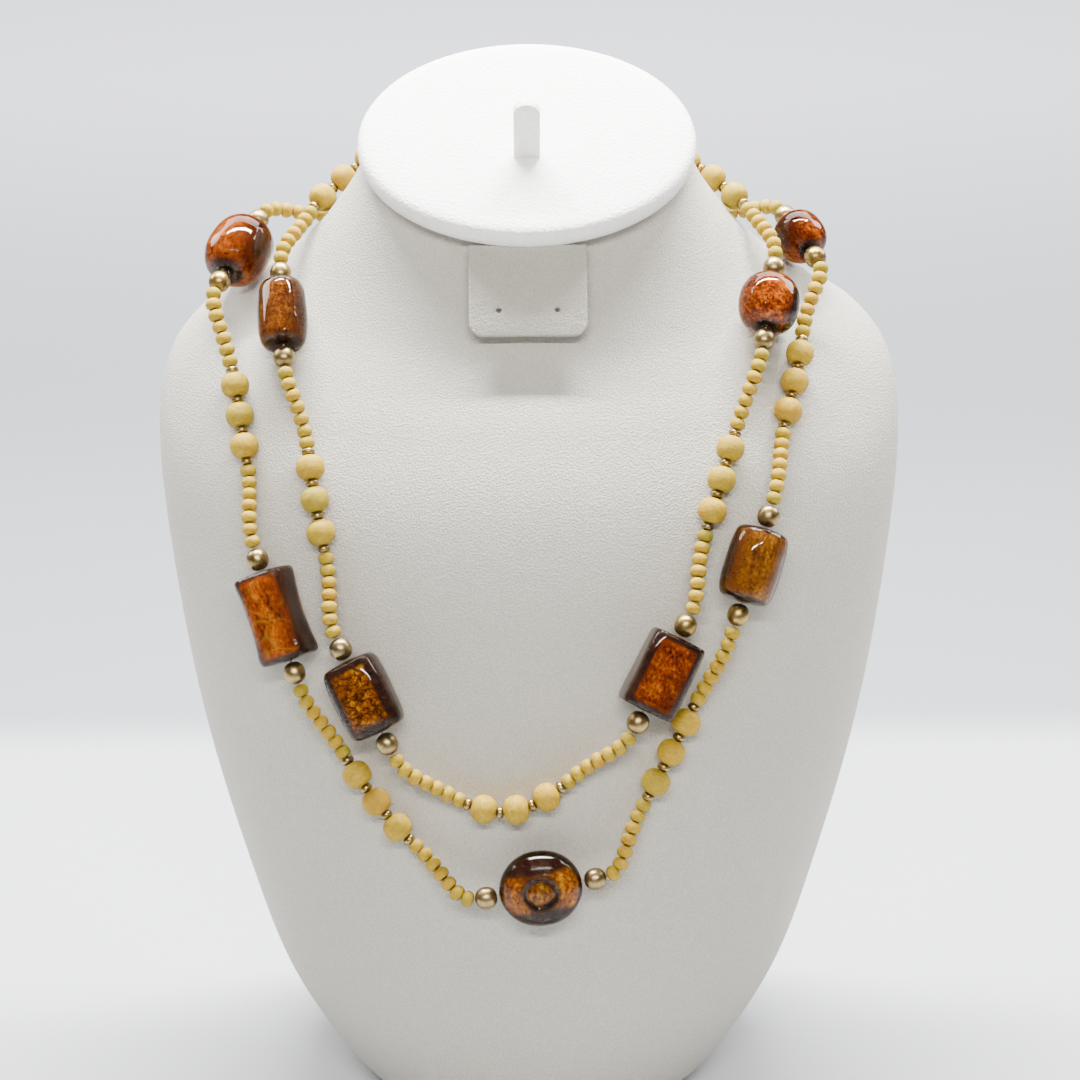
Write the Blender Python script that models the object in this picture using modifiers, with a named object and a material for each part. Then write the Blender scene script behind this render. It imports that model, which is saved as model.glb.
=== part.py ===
"""Beaded necklace of glass, bone and metal beads, worn twice round a plain neck bust.

Metres, +Z up, the chest faces -Y. The origin is the middle of the bust's flat base.
"""

import math

import bmesh
import bpy
import numpy as np
from mathutils import Matrix, Vector
from mathutils.bvhtree import BVHTree

# Driving sizes of the bust
BUST_WIDTH = 0.197
BUST_DEPTH = 0.122
BUST_HEIGHT = 0.2585
BUST_SIDES = 28

# The padded oval on the neck, with its band below and the tab for rings above
PAD_WIDTH = 0.089
PAD_DEPTH = 0.072
PAD_THICKNESS = 0.0055
PAD_ROUNDING = 0.0022
BAND_WIDTH = 0.0872
BAND_DEPTH = 0.0672
BAND_THICKNESS = 0.0015
OVAL_SIDES = 28
TAB_WIDTH = 0.0068
TAB_THICKNESS = 0.0026
TAB_HEIGHT = 0.0185
TAB_FORWARD = 0.008

# The card for earrings that hangs below the pad
FLAP_WIDTH = 0.0302
FLAP_LENGTH = 0.0235
FLAP_THICKNESS = 0.0018
FLAP_CORNER = 0.0035
FLAP_LEAN = 25.5
FLAP_TUCK = 0.0006
EARRING_HOLE = 0.0013
EARRING_HOLE_SPREAD = 0.0149
EARRING_HOLE_RISE = 0.0066

# Bone beads, metal spacers, metal balls and the thread through them
SMALL_WIDTH = 0.0043
SMALL_PITCH = 0.00317
SMALL_COUNT = 7
MEDIUM_WIDTH = 0.0075
MEDIUM_LENGTH = 0.0066
MEDIUM_COUNT = 3
SPACER_WIDTH = 0.0035
SPACER_LENGTH = 0.00185
BALL_WIDTH = 0.0058
BALL_LENGTH = 0.0056
THREAD_WIDTH = 0.0006
THREAD_REACH = 0.0015
BORE_WIDTH = 0.0016
RUN_RESOLUTION = 3
BALL_SIDES = 10
GLASS_SIDES = 12

# Room between pieces, and between the beads and the chest
GAP = 0.0003
STRING_GAP = 0.00042
DRAPE_GAP = 0.0007

# Glass beads in their order along the string: name, length, width, thickness and form
GLASS = [
    ("glass_bottom_disc", 0.0214, 0.0204, 0.0124, "disc"),
    ("glass_right_barrel", 0.0195, 0.0155, 0.0148, "barrel"),
    ("glass_right_shoulder", 0.0134, 0.0142, 0.0142, "round"),
    ("glass_back_left", 0.0136, 0.0138, 0.0138, "round"),
    ("glass_left_tube", 0.0194, 0.0135, 0.0135, "barrel"),
    ("glass_left_pillow", 0.0200, 0.0155, 0.0130, "pillow"),
    ("glass_right_prism", 0.0205, 0.0150, 0.0136, "prism"),
    ("glass_right_round", 0.0162, 0.0164, 0.0164, "round"),
    ("glass_back_right", 0.0142, 0.0140, 0.0140, "round"),
    ("glass_left_lantern", 0.0196, 0.0177, 0.0177, "lantern"),
    ("glass_left_flared", 0.0237, 0.0150, 0.0128, "flared"),
]

# Outlines of turned glass, as shares of half the length and of half the width
TURNED_GLASS = {
    "round": [(1.0, 0.42), (0.72, 0.80), (0.0, 1.0), (-0.72, 0.80), (-1.0, 0.42)],
    "barrel": [(1.0, 0.62), (0.86, 0.90), (0.0, 1.0), (-0.86, 0.90), (-1.0, 0.62)],
    "lantern": [(1.0, 0.38), (0.78, 0.76), (0.0, 1.0), (-0.78, 0.76), (-1.0, 0.38)],
}

# Sections of flat glass: place along the bead, width, thickness and squareness
FLAT_GLASS = {
    "disc": [(1.0, 0.30, 0.42, 2.2), (0.78, 0.66, 0.72, 2.2), (0.0, 1.0, 1.0, 2.2)],
    "pillow": [(1.0, 0.74, 0.66, 3.0), (0.84, 0.93, 0.90, 3.4), (0.0, 1.0, 1.0, 3.4)],
    "prism": [(1.0, 0.88, 0.84, 4.0), (0.90, 0.98, 0.96, 5.0), (0.0, 0.98, 1.0, 5.0)],
    "flared": [(1.0, 0.90, 0.80, 3.6), (0.88, 1.0, 0.94, 4.0), (0.0, 0.86, 1.0, 4.0)],
}

# Level sections of the bust from the base up, as shares of its depth, height and half width:
# front y, front z, back y, back z, half width, place of the widest point, squareness
BUST_SECTIONS = [
    (-0.41, 0.000, 0.30, 0.000, 0.41, 0.52, 2.00),
    (-0.47, 0.015, 0.34, 0.015, 0.51, 0.52, 2.00),
    (-0.49, 0.050, 0.37, 0.050, 0.59, 0.53, 2.05),
    (-0.50, 0.125, 0.38, 0.125, 0.70, 0.54, 2.10),
    (-0.475, 0.23, 0.38, 0.230, 0.79, 0.55, 2.20),
    (-0.42, 0.37, 0.38, 0.370, 0.89, 0.57, 2.25),
    (-0.335, 0.50, 0.38, 0.520, 0.96, 0.60, 2.25),
    (-0.24, 0.62, 0.385, 0.66, 1.00, 0.63, 2.20),
    (-0.15, 0.69, 0.41, 0.745, 0.985, 0.65, 2.10),
    (-0.085, 0.73, 0.405, 0.805, 0.89, 0.65, 2.05),
    (-0.035, 0.76, 0.405, 0.845, 0.725, 0.64, 2.05),
    (-0.005, 0.785, 0.405, 0.88, 0.61, 0.63, 2.00),
    (0.02, 0.81, 0.415, 0.92, 0.525, 0.61, 2.00),
    (0.04, 0.84, 0.44, 0.96, 0.46, 0.59, 2.00),
    (0.057, 0.865, 0.50, 1.000, 0.43, 0.56, 2.00),
]

# The way of the string, chosen by hand, from the bottom disc up the right side, round the neck,
# down the left side, across the chest, up again, round and back: shares of half the bust's width,
# of its depth and its height, then 1 where this strand passes over the other
ROUTE = [
    (0.02, -0.47, 0.284, 0),
    (0.14, -0.455, 0.294, 0),
    (0.235, -0.43, 0.330, 0),
    (0.32, -0.39, 0.385, 0),
    (0.40, -0.345, 0.441, 0),
    (0.47, -0.30, 0.490, 0),
    (0.545, -0.235, 0.570, 0),
    (0.60, -0.17, 0.627, 0),
    (0.665, -0.055, 0.705, 0),
    (0.70, 0.03, 0.745, 0),
    (0.72, 0.13, 0.782, 0),
    (0.715, 0.22, 0.808, 0),
    (0.665, 0.285, 0.829, 0),
    (0.60, 0.33, 0.847, 0),
    (0.53, 0.36, 0.855, 0),
    (0.45, 0.385, 0.860, 0),
    (0.375, 0.395, 0.871, 0),
    (0.31, 0.40, 0.890, 0),
    (0.25, 0.405, 0.912, 0),
    (0.18, 0.41, 0.932, 0),
    (0.08, 0.415, 0.947, 0),
    (-0.05, 0.415, 0.950, 0),
    (-0.20, 0.415, 0.947, 0),
    (-0.31, 0.40, 0.942, 0),
    (-0.40, 0.37, 0.925, 0),
    (-0.47, 0.34, 0.903, 0),
    (-0.52, 0.31, 0.882, 0),
    (-0.565, 0.26, 0.856, 0),
    (-0.603, 0.185, 0.820, 0),
    (-0.625, 0.095, 0.783, 0),
    (-0.61, 0.01, 0.747, 0),
    (-0.58, -0.07, 0.707, 0),
    (-0.545, -0.17, 0.640, 0),
    (-0.51, -0.235, 0.575, 0),
    (-0.47, -0.29, 0.510, 0),
    (-0.415, -0.33, 0.463, 0),
    (-0.335, -0.375, 0.410, 0),
    (-0.22, -0.41, 0.372, 0),
    (-0.08, -0.425, 0.353, 0),
    (0.04, -0.42, 0.368, 0),
    (0.15, -0.40, 0.402, 0),
    (0.25, -0.37, 0.437, 0),
    (0.325, -0.33, 0.483, 0),
    (0.40, -0.27, 0.557, 0),
    (0.45, -0.215, 0.613, 0),
    (0.50, -0.15, 0.664, 0),
    (0.55, -0.06, 0.715, 0),
    (0.59, 0.03, 0.757, 0),
    (0.61, 0.11, 0.790, 0),
    (0.605, 0.17, 0.813, 0),
    (0.575, 0.24, 0.845, 0),
    (0.54, 0.285, 0.867, 0),
    (0.49, 0.325, 0.892, 0),
    (0.43, 0.36, 0.912, 1),
    (0.355, 0.385, 0.918, 1),
    (0.28, 0.40, 0.905, 1),
    (0.21, 0.405, 0.886, 1),
    (0.13, 0.41, 0.870, 1),
    (0.0, 0.41, 0.862, 0),
    (-0.16, 0.405, 0.860, 0),
    (-0.34, 0.40, 0.862, 0),
    (-0.46, 0.385, 0.862, 0),
    (-0.55, 0.355, 0.855, 0),
    (-0.62, 0.32, 0.843, 0),
    (-0.68, 0.285, 0.826, 0),
    (-0.74, 0.225, 0.804, 0),
    (-0.78, 0.155, 0.780, 0),
    (-0.775, 0.08, 0.755, 0),
    (-0.755, 0.005, 0.724, 0),
    (-0.725, -0.09, 0.669, 0),
    (-0.68, -0.18, 0.590, 0),
    (-0.625, -0.245, 0.523, 0),
    (-0.555, -0.30, 0.456, 0),
    (-0.48, -0.35, 0.405, 0),
    (-0.40, -0.385, 0.364, 0),
    (-0.32, -0.415, 0.328, 0),
    (-0.23, -0.44, 0.299, 0),
    (-0.12, -0.46, 0.280, 0),
]

# How the string is worked out: points on it, the height that the drape turns about, two first
# guesses at the drape, how steeply a bead or the other strand lifts it, how far beyond a glass
# bead it comes back to its way, and how far apart on the string two crossing beads are
STRING_POINTS = 1600
DRAPE_PIVOT = 0.83
DRAPE_START = (1.0, 0.98)
LIFT_SLOPE = 0.3
BLEND_REACH = 0.013
EASING = 60
CROSSING_APART = 0.04
CROSSING_GAP = 0.0013
CROSSING_SLOPE = 0.55
SKIN_SIDES = 120
SKIN_STEPS = 5


def clear_scene():
    for thing in list(bpy.data.objects):
        bpy.data.objects.remove(thing, do_unlink=True)


def make_collection(name):
    group = bpy.data.collections.new(name)
    bpy.context.scene.collection.children.link(group)
    return group


def make_material(name, colour, roughness, metallic=0.0):
    material = bpy.data.materials.new(name)
    material.use_nodes = True
    shader = material.node_tree.nodes["Principled BSDF"]
    shader.inputs["Base Color"].default_value = (*colour, 1.0)
    shader.inputs["Roughness"].default_value = roughness
    shader.inputs["Metallic"].default_value = metallic
    return material


def add_object(name, data, material, group):
    thing = bpy.data.objects.new(name, data)
    data.materials.append(material)
    group.objects.link(thing)
    return thing


def unit(vectors):
    """Each row of an array at length one."""
    return vectors / np.linalg.norm(vectors, axis=-1, keepdims=True)


def bust_rows(steps):
    """The bust's sections in metres, with steps - 1 smooth ones between each two."""
    half = BUST_WIDTH / 2
    scale = np.array([BUST_DEPTH, BUST_HEIGHT, BUST_DEPTH, BUST_HEIGHT, half, 1.0, 1.0])
    table = np.array(BUST_SECTIONS) * scale
    slope = np.gradient(table, axis=0)
    rows = []
    for index in range(len(table) - 1):
        for step in range(steps):
            rows.append(between(table, slope, index, step / steps))
    rows.append(table[-1])
    return rows


def between(points, slopes, index, share):
    """A point on the smooth curve from one row of points to the next."""
    after = (index + 1) % len(points)
    rest = 1 - share
    return (
        rest * rest * (1 + 2 * share) * points[index]
        + share * rest * rest * slopes[index]
        + share * share * (3 - 2 * share) * points[after]
        - share * share * rest * slopes[after]
    )


def bust_ring(row, sides):
    """Points round one section of the bust, from its right side over the back."""
    front_y, front_z, back_y, back_z, half, widest, squareness = row
    angle = 2 * np.pi * np.arange(sides) / sides
    power = 2 / squareness
    across = half * np.sign(np.cos(angle)) * np.abs(np.cos(angle)) ** power
    along = np.sign(np.sin(angle)) * np.abs(np.sin(angle)) ** power
    share = widest + np.where(along > 0, (1 - widest) * along, widest * along)
    depth = front_y + (back_y - front_y) * share
    height = front_z + (back_z - front_z) * share
    return np.column_stack([across, depth, height])


def seat_frame():
    """Middle, forward direction and upward direction of the tilted plane on top of the neck."""
    front_y, front_z, back_y, back_z = bust_rows(1)[-1][:4]
    front = Vector((0, front_y, front_z))
    back = Vector((0, back_y, back_z))
    forward = (front - back).normalized()
    return (front + back) / 2, forward, Vector((1, 0, 0)).cross(-forward)


def frame_matrix(origin, along, outward):
    """Placement whose Z runs along a direction and whose Y leans outward."""
    axis_z = Vector(along).normalized()
    axis_y = Vector(outward) - Vector(outward).dot(axis_z) * axis_z
    axis_y.normalize()
    axis_x = axis_y.cross(axis_z)
    turn = Matrix((axis_x, axis_y, axis_z)).transposed().to_4x4()
    return Matrix.Translation(Vector(origin)) @ turn


def skin_rings(rings, closed):
    """Mesh through rings of equally many points; open ends get a flat face."""
    mesh = bmesh.new()
    loops = [[mesh.verts.new(point) for point in ring] for ring in rings]
    count = len(loops[0])
    last = len(loops) if closed else len(loops) - 1
    for index in range(last):
        low = loops[index]
        high = loops[(index + 1) % len(loops)]
        for place in range(count):
            after = (place + 1) % count
            mesh.faces.new((low[place], low[after], high[after], high[place]))
    if not closed:
        mesh.faces.new(reversed(loops[0]))
        mesh.faces.new(loops[-1])
    bmesh.ops.recalc_face_normals(mesh, faces=mesh.faces)
    return mesh


def mesh_object(name, shape, material, group):
    data = bpy.data.meshes.new(name)
    shape.to_mesh(data)
    shape.free()
    data.shade_smooth()
    data.set_sharp_from_angle(angle=math.radians(40))
    return add_object(name, data, material, group)


def make_bust(material, group):
    rings = [bust_ring(row, BUST_SIDES) for row in bust_rows(1)]
    mesh_object("bust_body", skin_rings(rings, False), material, group)


def make_oval(name, width, depth, thickness, lift, rounding, material, group):
    """A flat oval piece on the neck, its underside lifted off the neck's top plane."""
    shape = bmesh.new()
    bmesh.ops.create_cone(shape, cap_ends=True, segments=OVAL_SIDES, radius1=0.5, radius2=0.5,
                          depth=thickness)
    bmesh.ops.scale(shape, verts=shape.verts, vec=(width, depth, 1.0))
    piece = mesh_object(name, shape, material, group)
    if rounding:
        bevel = piece.modifiers.new("rounding", "BEVEL")
        bevel.width = rounding
        bevel.segments = 2
        bevel.limit_method = "ANGLE"
    middle, forward, upward = seat_frame()
    centre = middle + upward * (lift + thickness / 2)
    piece.matrix_world = frame_matrix(centre, upward, -forward)


def outline_arc(centre_x, centre_y, radius, start, end, steps):
    """Points on an arc, with angles in degrees."""
    angles = [math.radians(start + (end - start) * step / steps) for step in range(steps + 1)]
    return [(centre_x + radius * math.cos(a), centre_y + radius * math.sin(a)) for a in angles]


def make_card(name, outlines, thickness, placement, material, group):
    """A flat piece from its outline and its holes, with half its thickness to each side."""
    data = bpy.data.curves.new(name, "CURVE")
    data.dimensions = "2D"
    data.fill_mode = "BOTH"
    data.extrude = thickness / 2
    for outline in outlines:
        spline = data.splines.new("POLY")
        spline.points.add(len(outline) - 1)
        for point, place in zip(spline.points, outline):
            point.co = (place[0], place[1], 0.0, 1.0)
        spline.use_cyclic_u = True
    card = add_object(name, data, material, group)
    card.matrix_world = placement


def make_flap(material, group):
    """The earring card, tucked below the front lip of the pad."""
    half = FLAP_WIDTH / 2 - FLAP_CORNER
    low = FLAP_CORNER - FLAP_LENGTH
    corners = outline_arc(-half, low, FLAP_CORNER, 180, 270, 3)
    corners += outline_arc(half, low, FLAP_CORNER, 270, 360, 3)
    edge = [(FLAP_WIDTH / 2, 0.0), (-FLAP_WIDTH / 2, 0.0)]
    outlines = [corners + edge]
    for side in (-1, 1):
        hole = outline_arc(side * EARRING_HOLE_SPREAD / 2, EARRING_HOLE_RISE - FLAP_LENGTH,
                           EARRING_HOLE / 2, 0, 315, 7)
        outlines.append(hole)
    middle, forward, upward = seat_frame()
    back_face = middle + forward * (BAND_DEPTH / 2 + GAP) + upward * (BAND_THICKNESS - FLAP_TUCK)
    lean = math.radians(FLAP_LEAN)
    rise = Vector((0, math.sin(lean), math.cos(lean)))
    outward = Vector((0, -math.cos(lean), math.sin(lean)))
    top = back_face + outward * FLAP_THICKNESS / 2
    turn = Matrix((Vector((1, 0, 0)), rise, outward)).transposed().to_4x4()
    make_card("earring_flap", outlines, FLAP_THICKNESS, Matrix.Translation(top) @ turn,
              material, group)


def make_tab(material, group):
    """The round-topped tab that holds a ring, standing on the pad."""
    radius = TAB_WIDTH / 2
    outline = outline_arc(0.0, TAB_HEIGHT - radius, radius, 0, 180, 8)
    outline += [(-radius, 0.0), (radius, 0.0)]
    middle, forward, upward = seat_frame()
    lift = BAND_THICKNESS + PAD_THICKNESS + 3 * GAP
    foot = middle + forward * TAB_FORWARD + upward * lift
    turn = Matrix((Vector((1, 0, 0)), upward, forward)).transposed().to_4x4()
    make_card("ring_tab", [outline], TAB_THICKNESS, Matrix.Translation(foot) @ turn,
              material, group)


class Skin:
    """The smooth surface of the bust, which the string lies on."""

    def __init__(self):
        rings = [bust_ring(row, SKIN_SIDES) for row in bust_rows(SKIN_STEPS)]
        shape = skin_rings(rings, False)
        bmesh.ops.triangulate(shape, faces=shape.faces)
        shape.normal_update()
        shape.verts.ensure_lookup_table()
        shape.faces.ensure_lookup_table()
        self.points = [vert.co.copy() for vert in shape.verts]
        self.normals = [vert.normal.copy() for vert in shape.verts]
        self.faces = [[vert.index for vert in face.verts] for face in shape.faces]
        self.tree = BVHTree.FromPolygons(self.points, self.faces)
        shape.free()

    def below(self, place):
        """Nearest point of the skin and the smooth direction away from it."""
        spot, _, face, _ = self.tree.find_nearest(Vector(place))
        first, second, third = self.faces[face]
        start = self.points[first]
        side = self.points[second] - start
        other = self.points[third] - start
        away = spot - start
        area = side.cross(other)
        share_second = away.cross(other).dot(area) / area.dot(area)
        share_third = side.cross(away).dot(area) / area.dot(area)
        normal = self.normals[first] * (1 - share_second - share_third)
        normal += self.normals[second] * share_second + self.normals[third] * share_third
        return spot, normal.normalized()


def string_items():
    """Everything on the string in order, with its length and how high it lifts the thread."""
    items = []
    for name, length, _, thickness, _ in GLASS:
        items.append(("glass", name, length, thickness / 2))
        items.append(("gap", "", STRING_GAP, 0.0))
        items.append(("ball", "", BALL_LENGTH, BALL_WIDTH / 2))
        items.append(("gap", "", STRING_GAP, 0.0))
        items += [("small", "", SMALL_PITCH, SMALL_WIDTH / 2)] * SMALL_COUNT
        for _ in range(MEDIUM_COUNT):
            items.append(("spacer", "", SPACER_LENGTH, SPACER_WIDTH / 2))
            items.append(("medium", "", MEDIUM_LENGTH, MEDIUM_WIDTH / 2))
        items.append(("spacer", "", SPACER_LENGTH, SPACER_WIDTH / 2))
        items += [("small", "", SMALL_PITCH, SMALL_WIDTH / 2)] * SMALL_COUNT
        items.append(("gap", "", STRING_GAP, 0.0))
        items.append(("ball", "", BALL_LENGTH, BALL_WIDTH / 2))
        items.append(("gap", "", STRING_GAP, 0.0))
    return items


def route_curve(drop):
    """Closed smooth curve through the route, whose hanging part is stretched by drop."""
    table = np.array(ROUTE)
    hanging = table[:, 2] < DRAPE_PIVOT
    table[hanging, 2] = DRAPE_PIVOT - (DRAPE_PIVOT - table[hanging, 2]) * drop
    table = table * np.array([BUST_WIDTH / 2, BUST_DEPTH, BUST_HEIGHT, 1.0])
    reach = np.sqrt(np.linalg.norm((np.roll(table, -1, 0) - table)[:, :3], axis=1))
    reach = np.maximum(reach, 1e-6)[:, None]
    before = np.roll(reach, 1, 0)
    ahead = np.roll(table, -1, 0)
    behind = np.roll(table, 1, 0)
    rate = (table - behind) / before - (ahead - behind) / (before + reach)
    rate = rate + (ahead - table) / reach
    steps = 16
    curve = []
    for index in range(len(table)):
        after = (index + 1) % len(table)
        slopes = {index: rate[index] * reach[index], after: rate_into(table, reach, index)}
        for step in range(steps):
            curve.append(between(table, slopes, index, step / steps))
    return even_points(np.array(curve), STRING_POINTS)


def rate_into(table, reach, index):
    """How fast the curve runs as it comes to the end of one stretch."""
    count = len(table)
    start = table[index]
    end = table[(index + 1) % count]
    beyond = table[(index + 2) % count]
    here = reach[index]
    there = reach[(index + 1) % count]
    return ((end - start) / here - (beyond - start) / (here + there) + (beyond - end) / there) * here


def even_points(points, count):
    """As many points as asked, evenly spaced along a closed curve."""
    ring = np.vstack([points, points[:1]])
    travelled = np.concatenate([[0], np.cumsum(np.linalg.norm(np.diff(ring[:, :3], axis=0), axis=1))])
    places = np.linspace(0, travelled[-1], count, endpoint=False)
    return np.column_stack([np.interp(places, travelled, column) for column in ring.T])


def smooth(values, times):
    """Each value moved towards its two neighbours, round the closed string."""
    for _ in range(times):
        values = (np.roll(values, 1, 0) + 2 * values + np.roll(values, -1, 0)) / 4
    return values


class StringPath:
    """The thread's middle line, laid over the bust with the beads' radii below it."""

    def __init__(self, skin, drop):
        curve = route_curve(drop)
        found = [skin.below(place) for place in curve[:, :3]]
        self.spots = smooth(np.array([spot for spot, _ in found]), 6)
        self.outward = unit(smooth(np.array([normal for _, normal in found]), 10))
        self.upper = curve[:, 3] > 0.5
        self.items = string_items()
        self.need = sum(item[2] for item in self.items)
        self.line = self.spots + self.outward * SMALL_WIDTH
        self.measure()
        for _ in range(6):
            rise = np.maximum(self.bead_rise(), self.crossing_rise())
            self.line = smooth(self.spots + self.outward * rise[:, None], 3)
            self.line = self.straight_at_glass()
            self.measure()

    def measure(self):
        """Length of the thread up to each of its points, and of the whole."""
        steps = np.linalg.norm(np.roll(self.line, -1, 0) - self.line, axis=1)
        self.travelled = np.concatenate([[0], np.cumsum(steps)])
        self.length = self.travelled[-1]

    def offset_from(self, place):
        """Distance along the string from a place to each point, the short way round."""
        return (self.travelled[:-1] - place + self.length / 2) % self.length - self.length / 2

    def straight_at_glass(self):
        """Lead the thread straight through each glass bead and the balls at its ends."""
        straightened = self.line.copy()
        eased = np.zeros(len(self.line))
        for kind, _, start, end, radius in self.stations():
            if kind != "glass":
                continue
            reach = (end - start) / 2 + BALL_LENGTH + 2 * STRING_GAP
            offset = self.offset_from((start + end) / 2)
            first = np.argmin(np.abs(offset + reach))
            last = np.argmin(np.abs(offset - reach))
            middle = np.argmin(np.abs(offset))
            direction = unit(self.line[last] - self.line[first])
            needed = np.where(np.abs(offset) < (end - start) / 2, radius, BALL_WIDTH / 2)
            along = (self.line - self.line[middle]) @ direction
            course = self.spots[middle] + direction * along[:, None]
            height = np.sum((course - self.spots) * self.outward, axis=1)
            lift = np.max((needed + DRAPE_GAP - height)[np.abs(offset) < reach])
            course = course + self.outward[middle] * lift
            share = np.clip((np.abs(offset) - reach) / BLEND_REACH, 0, 1)
            share = (1 + np.cos(np.pi * share))[:, None] / 2
            straightened = straightened * (1 - share) + course * share
            beyond = (np.abs(offset) - reach) / BLEND_REACH
            eased = np.maximum(eased, np.clip(np.minimum(beyond, 2 - beyond), 0, 1))
        for _ in range(EASING):
            straightened += (smooth(straightened, 1) - straightened) * eased[:, None]
        return straightened

    def stations(self):
        """Start and end of each item, measured along the string from the first bead's middle."""
        stretch = self.length / self.need
        place = -self.items[0][2] / 2
        for kind, name, length, radius in self.items:
            slack = (stretch - 1) * length / 2
            end = place + length * stretch
            yield kind, name, place + slack, end - slack, radius
            place = end

    def bead_rise(self):
        """How far each point of the thread is held off the bust by the beads near it."""
        rise = np.zeros(len(self.line))
        for kind, _, start, end, radius in self.stations():
            if kind == "gap":
                continue
            level = (end - start) * 0.15
            if kind == "glass":
                level = (end - start + BLEND_REACH) / 2 + BALL_LENGTH
            away = np.abs(self.offset_from((start + end) / 2)) - level
            rise = np.maximum(rise, radius + DRAPE_GAP - LIFT_SLOPE * np.maximum(0, away))
        return np.maximum(smooth(rise, 24), SMALL_WIDTH / 2 + DRAPE_GAP)

    def girth(self):
        """Radius of the bead at each point of the thread."""
        radii = np.full(len(self.line), SPACER_WIDTH / 2)
        for _, _, start, end, radius in self.stations():
            here = np.abs(self.offset_from((start + end) / 2)) <= (end - start) / 2
            radii[here] = np.maximum(radii[here], radius)
        return radii

    def crossing_rise(self):
        """How far the upper strand is held off the bust where it passes over the other."""
        rise = np.zeros(len(self.line))
        radii = self.girth()
        for index in np.flatnonzero(self.upper):
            far = np.abs(self.offset_from(self.travelled[index])) > CROSSING_APART
            away = self.line[far] - self.spots[index]
            height = away @ self.outward[index]
            aside = np.sum(away * away, axis=1) - height ** 2
            room = (radii[far] + radii[index] + CROSSING_GAP) ** 2 - aside
            meets = room > 0
            if meets.any():
                rise[index] = np.max(height[meets] + np.sqrt(room[meets]))
        step = self.length / len(self.line) * CROSSING_SLOPE
        for _ in range(STRING_POINTS // 16):
            rise = np.maximum(rise, np.maximum(np.roll(rise, 1), np.roll(rise, -1)) - step)
        return smooth(rise, 12)

    def at(self, place):
        """Point of the thread at a distance along it, and the direction away from the bust."""
        place = place % self.length
        ring = np.vstack([self.line, self.line[:1]])
        out = np.vstack([self.outward, self.outward[:1]])
        point = [np.interp(place, self.travelled, column) for column in ring.T]
        normal = [np.interp(place, self.travelled, column) for column in out.T]
        return Vector(point), Vector(normal).normalized()


def lay_string(skin):
    """Let the hanging part down until the string is as long as what is threaded on it."""
    drop, before = DRAPE_START
    path = StringPath(skin, before)
    for _ in range(6):
        spare = path.length - path.need
        path = StringPath(skin, drop)
        change = path.length - path.need - spare
        before, drop = drop, drop - (path.length - path.need) * (drop - before) / change
        if abs(path.length - path.need) < SMALL_PITCH / 40:
            break
    return path


def make_turned(name, outline, sides, placement, material, group):
    """A bead with its bore, turned from the outline of its outer side."""
    data = bpy.data.meshes.new(name)
    top = outline[0][1]
    bottom = outline[-1][1]
    bore = BORE_WIDTH / 2
    profile = [(radius, height) for radius, height in outline] + [(bore, bottom), (bore, top)]
    points = [(radius, 0.0, height) for radius, height in profile]
    edges = [(index, (index + 1) % len(points)) for index in range(len(points))]
    data.from_pydata(points, edges, [])
    bead = add_object(name, data, material, group)
    screw = bead.modifiers.new("turning", "SCREW")
    screw.steps = sides
    screw.render_steps = sides
    screw.use_merge_vertices = True
    screw.merge_threshold = 0.00001
    bead.matrix_world = placement


def make_flat_glass(name, sections, placement, material, group):
    """A bead whose sections change in width, thickness and squareness, with its bore."""
    angle = 2 * np.pi * (np.arange(GLASS_SIDES) + 0.5) / GLASS_SIDES
    rings = []
    for height, half_width, half_thickness, squareness in sections:
        power = 2 / squareness
        across = half_width * np.sign(np.cos(angle)) * np.abs(np.cos(angle)) ** power
        outward = half_thickness * np.sign(np.sin(angle)) * np.abs(np.sin(angle)) ** power
        rings.append(np.column_stack([across, outward, np.full(GLASS_SIDES, height)]))
    bore = BORE_WIDTH / 2
    for height in (sections[-1][0], sections[0][0]):
        ring = np.column_stack([bore * np.cos(angle), bore * np.sin(angle),
                                np.full(GLASS_SIDES, height)])
        rings.append(ring)
    bead = mesh_object(name, skin_rings(rings, True), material, group)
    bead.matrix_world = placement


def make_glass(entry, placement, material, group):
    name, length, width, thickness, form = entry
    if form in TURNED_GLASS:
        outline = [(share * width / 2, place * length / 2) for place, share in TURNED_GLASS[form]]
        make_turned(name, outline, GLASS_SIDES, placement, material, group)
        return
    half = [(place * length / 2, across * width / 2, out * thickness / 2, squareness)
            for place, across, out, squareness in FLAT_GLASS[form]]
    mirrored = [(-place, across, out, squareness)
                for place, across, out, squareness in reversed(half[:-1])]
    make_flat_glass(name, half + mirrored, placement, material, group)


def make_ball(name, placement, material, group):
    half = BALL_LENGTH / 2
    radius = BALL_WIDTH / 2
    outline = [(0.48 * radius, half), (0.93 * radius, 0.42 * half), (0.93 * radius, -0.42 * half),
               (0.48 * radius, -half)]
    make_turned(name, outline, BALL_SIDES, placement, material, group)


def bead_profile(kind, start, end, radius):
    """Places and radii of one bead along a run."""
    length = end - start
    if kind == "small":
        return [(start, 0.62 * radius), ((start + end) / 2, radius)]
    if kind == "medium":
        return [(start + 0.10 * length, 0.74 * radius), ((start + end) / 2, radius),
                (end - 0.10 * length, 0.74 * radius)]
    return [((start + end) / 2, radius)]


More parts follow.
